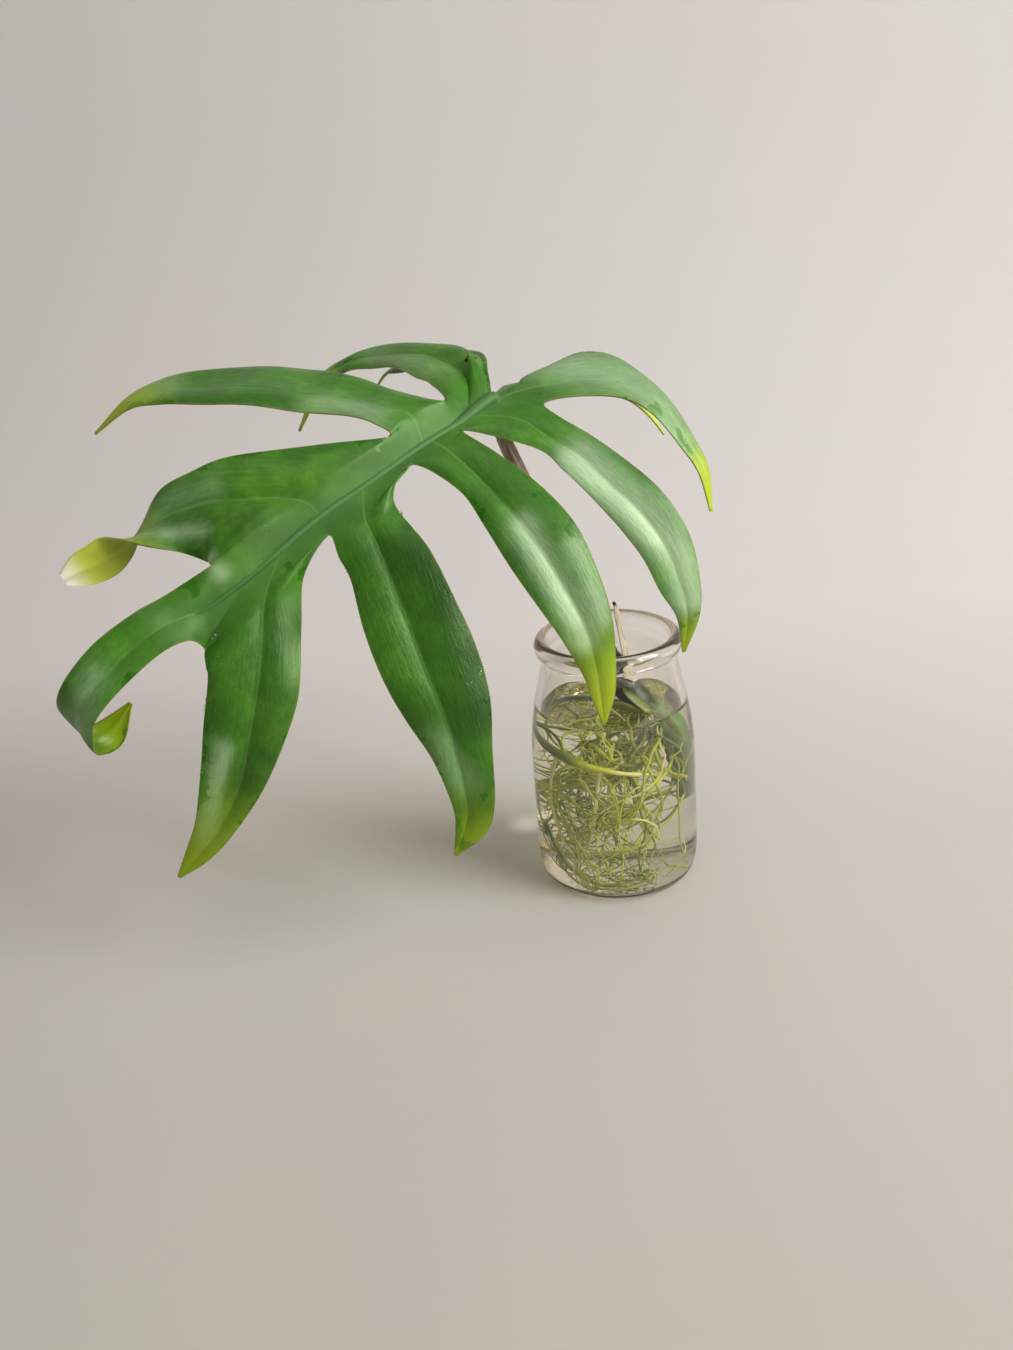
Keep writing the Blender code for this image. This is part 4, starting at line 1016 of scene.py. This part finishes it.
for centre, number, far in DROP_CLUSTERS:
    for _ in range(number):
        aim = Vector([c + luck.gauss(0, far / 2) for c in centre]) * MM
        place_on, normal, _, _ = skin_tree.find_nearest(aim)
        size = luck.uniform(0.4, 1.0) ** 1.8 * DROP_RADIUS * MM
        one = bead.copy()
        one.data = bead.data.copy()
        bpy.context.collection.objects.link(one)
        tilt = normal.to_track_quat("Z", "Y").to_matrix().to_4x4()
        stretch = Matrix.Diagonal((size * luck.uniform(0.8, 1.3), size * luck.uniform(0.8, 1.2), size * 0.55, 1))
        one.data.transform(Matrix.Translation(place_on + normal * size * 0.1) @ tilt @ stretch)
        beads.append(one)
bpy.data.objects.remove(bead)
bpy.ops.object.select_all(action="DESELECT")
for one in beads:
    one.select_set(True)
drops = beads[0]
bpy.context.view_layer.objects.active = drops
bpy.ops.object.join()
drops.name = "leaf_drops"
drops.data.shade_smooth()
drops.data.materials.clear()
drops.data.materials.append(clear_material("rinsing water", "#fdfffb", "#f4f6ee", WATER_TRAPPED, WATER_IOR))
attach(drops, "root")

# THE FLOOR
# A plain pale paper sweep under and behind the jar. It is stage only, not part of the object.
bpy.ops.object.select_all(action="DESELECT")
bpy.ops.mesh.primitive_plane_add(size=1, location=(0, 0, 0))
floor = bpy.context.active_object
floor.name = "floor_sweep"
profile = [(-1.6, 0.0), (0.3, 0.0)] + [
    (0.3 + 0.5 * math.sin(t), 0.5 - 0.5 * math.cos(t)) for t in np.linspace(0, math.pi / 2, 25)[1:]] + [(0.8, 2.4)]
work = bmesh.new()
left = [work.verts.new((-2.5, y, z)) for y, z in profile]
right = [work.verts.new((2.5, y, z)) for y, z in profile]
for i in range(len(profile) - 1):
    work.faces.new((left[i], right[i], right[i + 1], left[i + 1]))
work.to_mesh(floor.data)
work.free()
floor.data.shade_smooth()
sweep_paper, tree = new_material("pale matt paper")
place = add(tree, "TexCoord").outputs["Object"]
# Painted shade: the paper is darker towards the front and again up the sweep, lightest about 0.3 m behind the jar, as
# the light falls off; the ramp runs from 0.6 m in front to 1 m behind
split = add(tree, "SeparateXYZ", [place])
depth = add(tree, "MapRange", [split.outputs["Y"], -0.6, 1.0])
painted_falloff = add(tree, "ValToRGB", [depth], stops=[(0.2, "#c3bdb1"), (0.38, "#cfc9bf"), (0.56, "#e9e2db"),
    (0.85, "#d9d4cd")])
tooth = add(tree, "TexNoise", {"Vector": place, "Scale": 3.0, "Detail": 4.0})
paper_hue = add(tree, "Mix", [0.06, painted_falloff, tooth.outputs["Color"]], data_type="RGBA", blend_type="OVERLAY")
# A painted pool of light: the bright spot that the jar would gather from the window glows from the paper beside it, 12
# mm in radius
from_spot = add(tree, "VectorMath", [place, (-0.0362, 0.041, 0.0)], operation="DISTANCE")
painted_caustic_glow = add(tree, "MapRange", [from_spot, 0.0, 0.012, 0.22, 0.0], interpolation_type="SMOOTHSTEP")
surface = add(tree, "BsdfPrincipled", {"Base Color": paper_hue, "Roughness": 0.8, "Specular IOR Level": 0.2,
    "Emission Color": "#fff4e2", "Emission Strength": painted_caustic_glow})
add(tree, "OutputMaterial", [surface])
floor.data.materials.append(sweep_paper)

# CAMERA AND LIGHTS
# The camera stands in front and a little to the left, looks down at the leaf and is tilted a little.
# A large window light comes from the right and front, with a soft room light all round.
PITCH = math.radians(22.8)
ROLL = math.radians(-4.8)
forward = Vector((0, math.cos(PITCH), -math.sin(PITCH)))
level = Vector((1, 0, 0))
upright = level.cross(forward)
camera_right = math.cos(ROLL) * level + math.sin(ROLL) * upright
camera_up = -math.sin(ROLL) * level + math.cos(ROLL) * upright
lens = bpy.data.cameras.new("camera")
lens.lens = 34.67
lens.sensor_width = 36
lens.clip_start = 0.01
camera = bpy.data.objects.new("camera", lens)
bpy.context.collection.objects.link(camera)
turn = Matrix((camera_right, camera_up, -forward)).transposed().to_4x4()
camera.matrix_world = Matrix.Translation((-0.040, -0.467, 0.286)) @ turn
bpy.context.scene.camera = camera


def window(name, place, aim, wide, high, power, colour):
    """A soft rectangular light that faces a point."""
    data = bpy.data.lights.new(name, "AREA")
    data.shape = "RECTANGLE"
    data.size = wide
    data.size_y = high
    data.energy = power
    data.color = linear(colour)[:3]
    made = bpy.data.objects.new(name, data)
    bpy.context.collection.objects.link(made)
    made.location = place
    made.rotation_euler = (Vector(aim) - Vector(place)).to_track_quat("-Z", "Y").to_euler()
    return made


window("window", (1.1, -0.6, 0.85), (0, 0, 0.1), 0.8, 0.8, 22, "#f8f9ff")
window("ceiling", (-0.1, -0.5, 1.6), (-0.05, 0, 0.1), 1.0, 1.0, 4, "#f6f7ff")
sheen = window("sheen card", (0.75, -1.0, 0.55), (-0.03, 0, 0.15), 0.5, 0.7, 9, "#fdfcf8")
sheen.visible_diffuse = False
sheen.visible_transmission = False
world = bpy.data.worlds.new("room")
world.use_nodes = True
world.node_tree.nodes["Background"].inputs["Color"].default_value = linear("#f3efe8")
world.node_tree.nodes["Background"].inputs["Strength"].default_value = 0.31
bpy.context.scene.world = world
bpy.context.scene.view_settings.view_transform = "Standard"
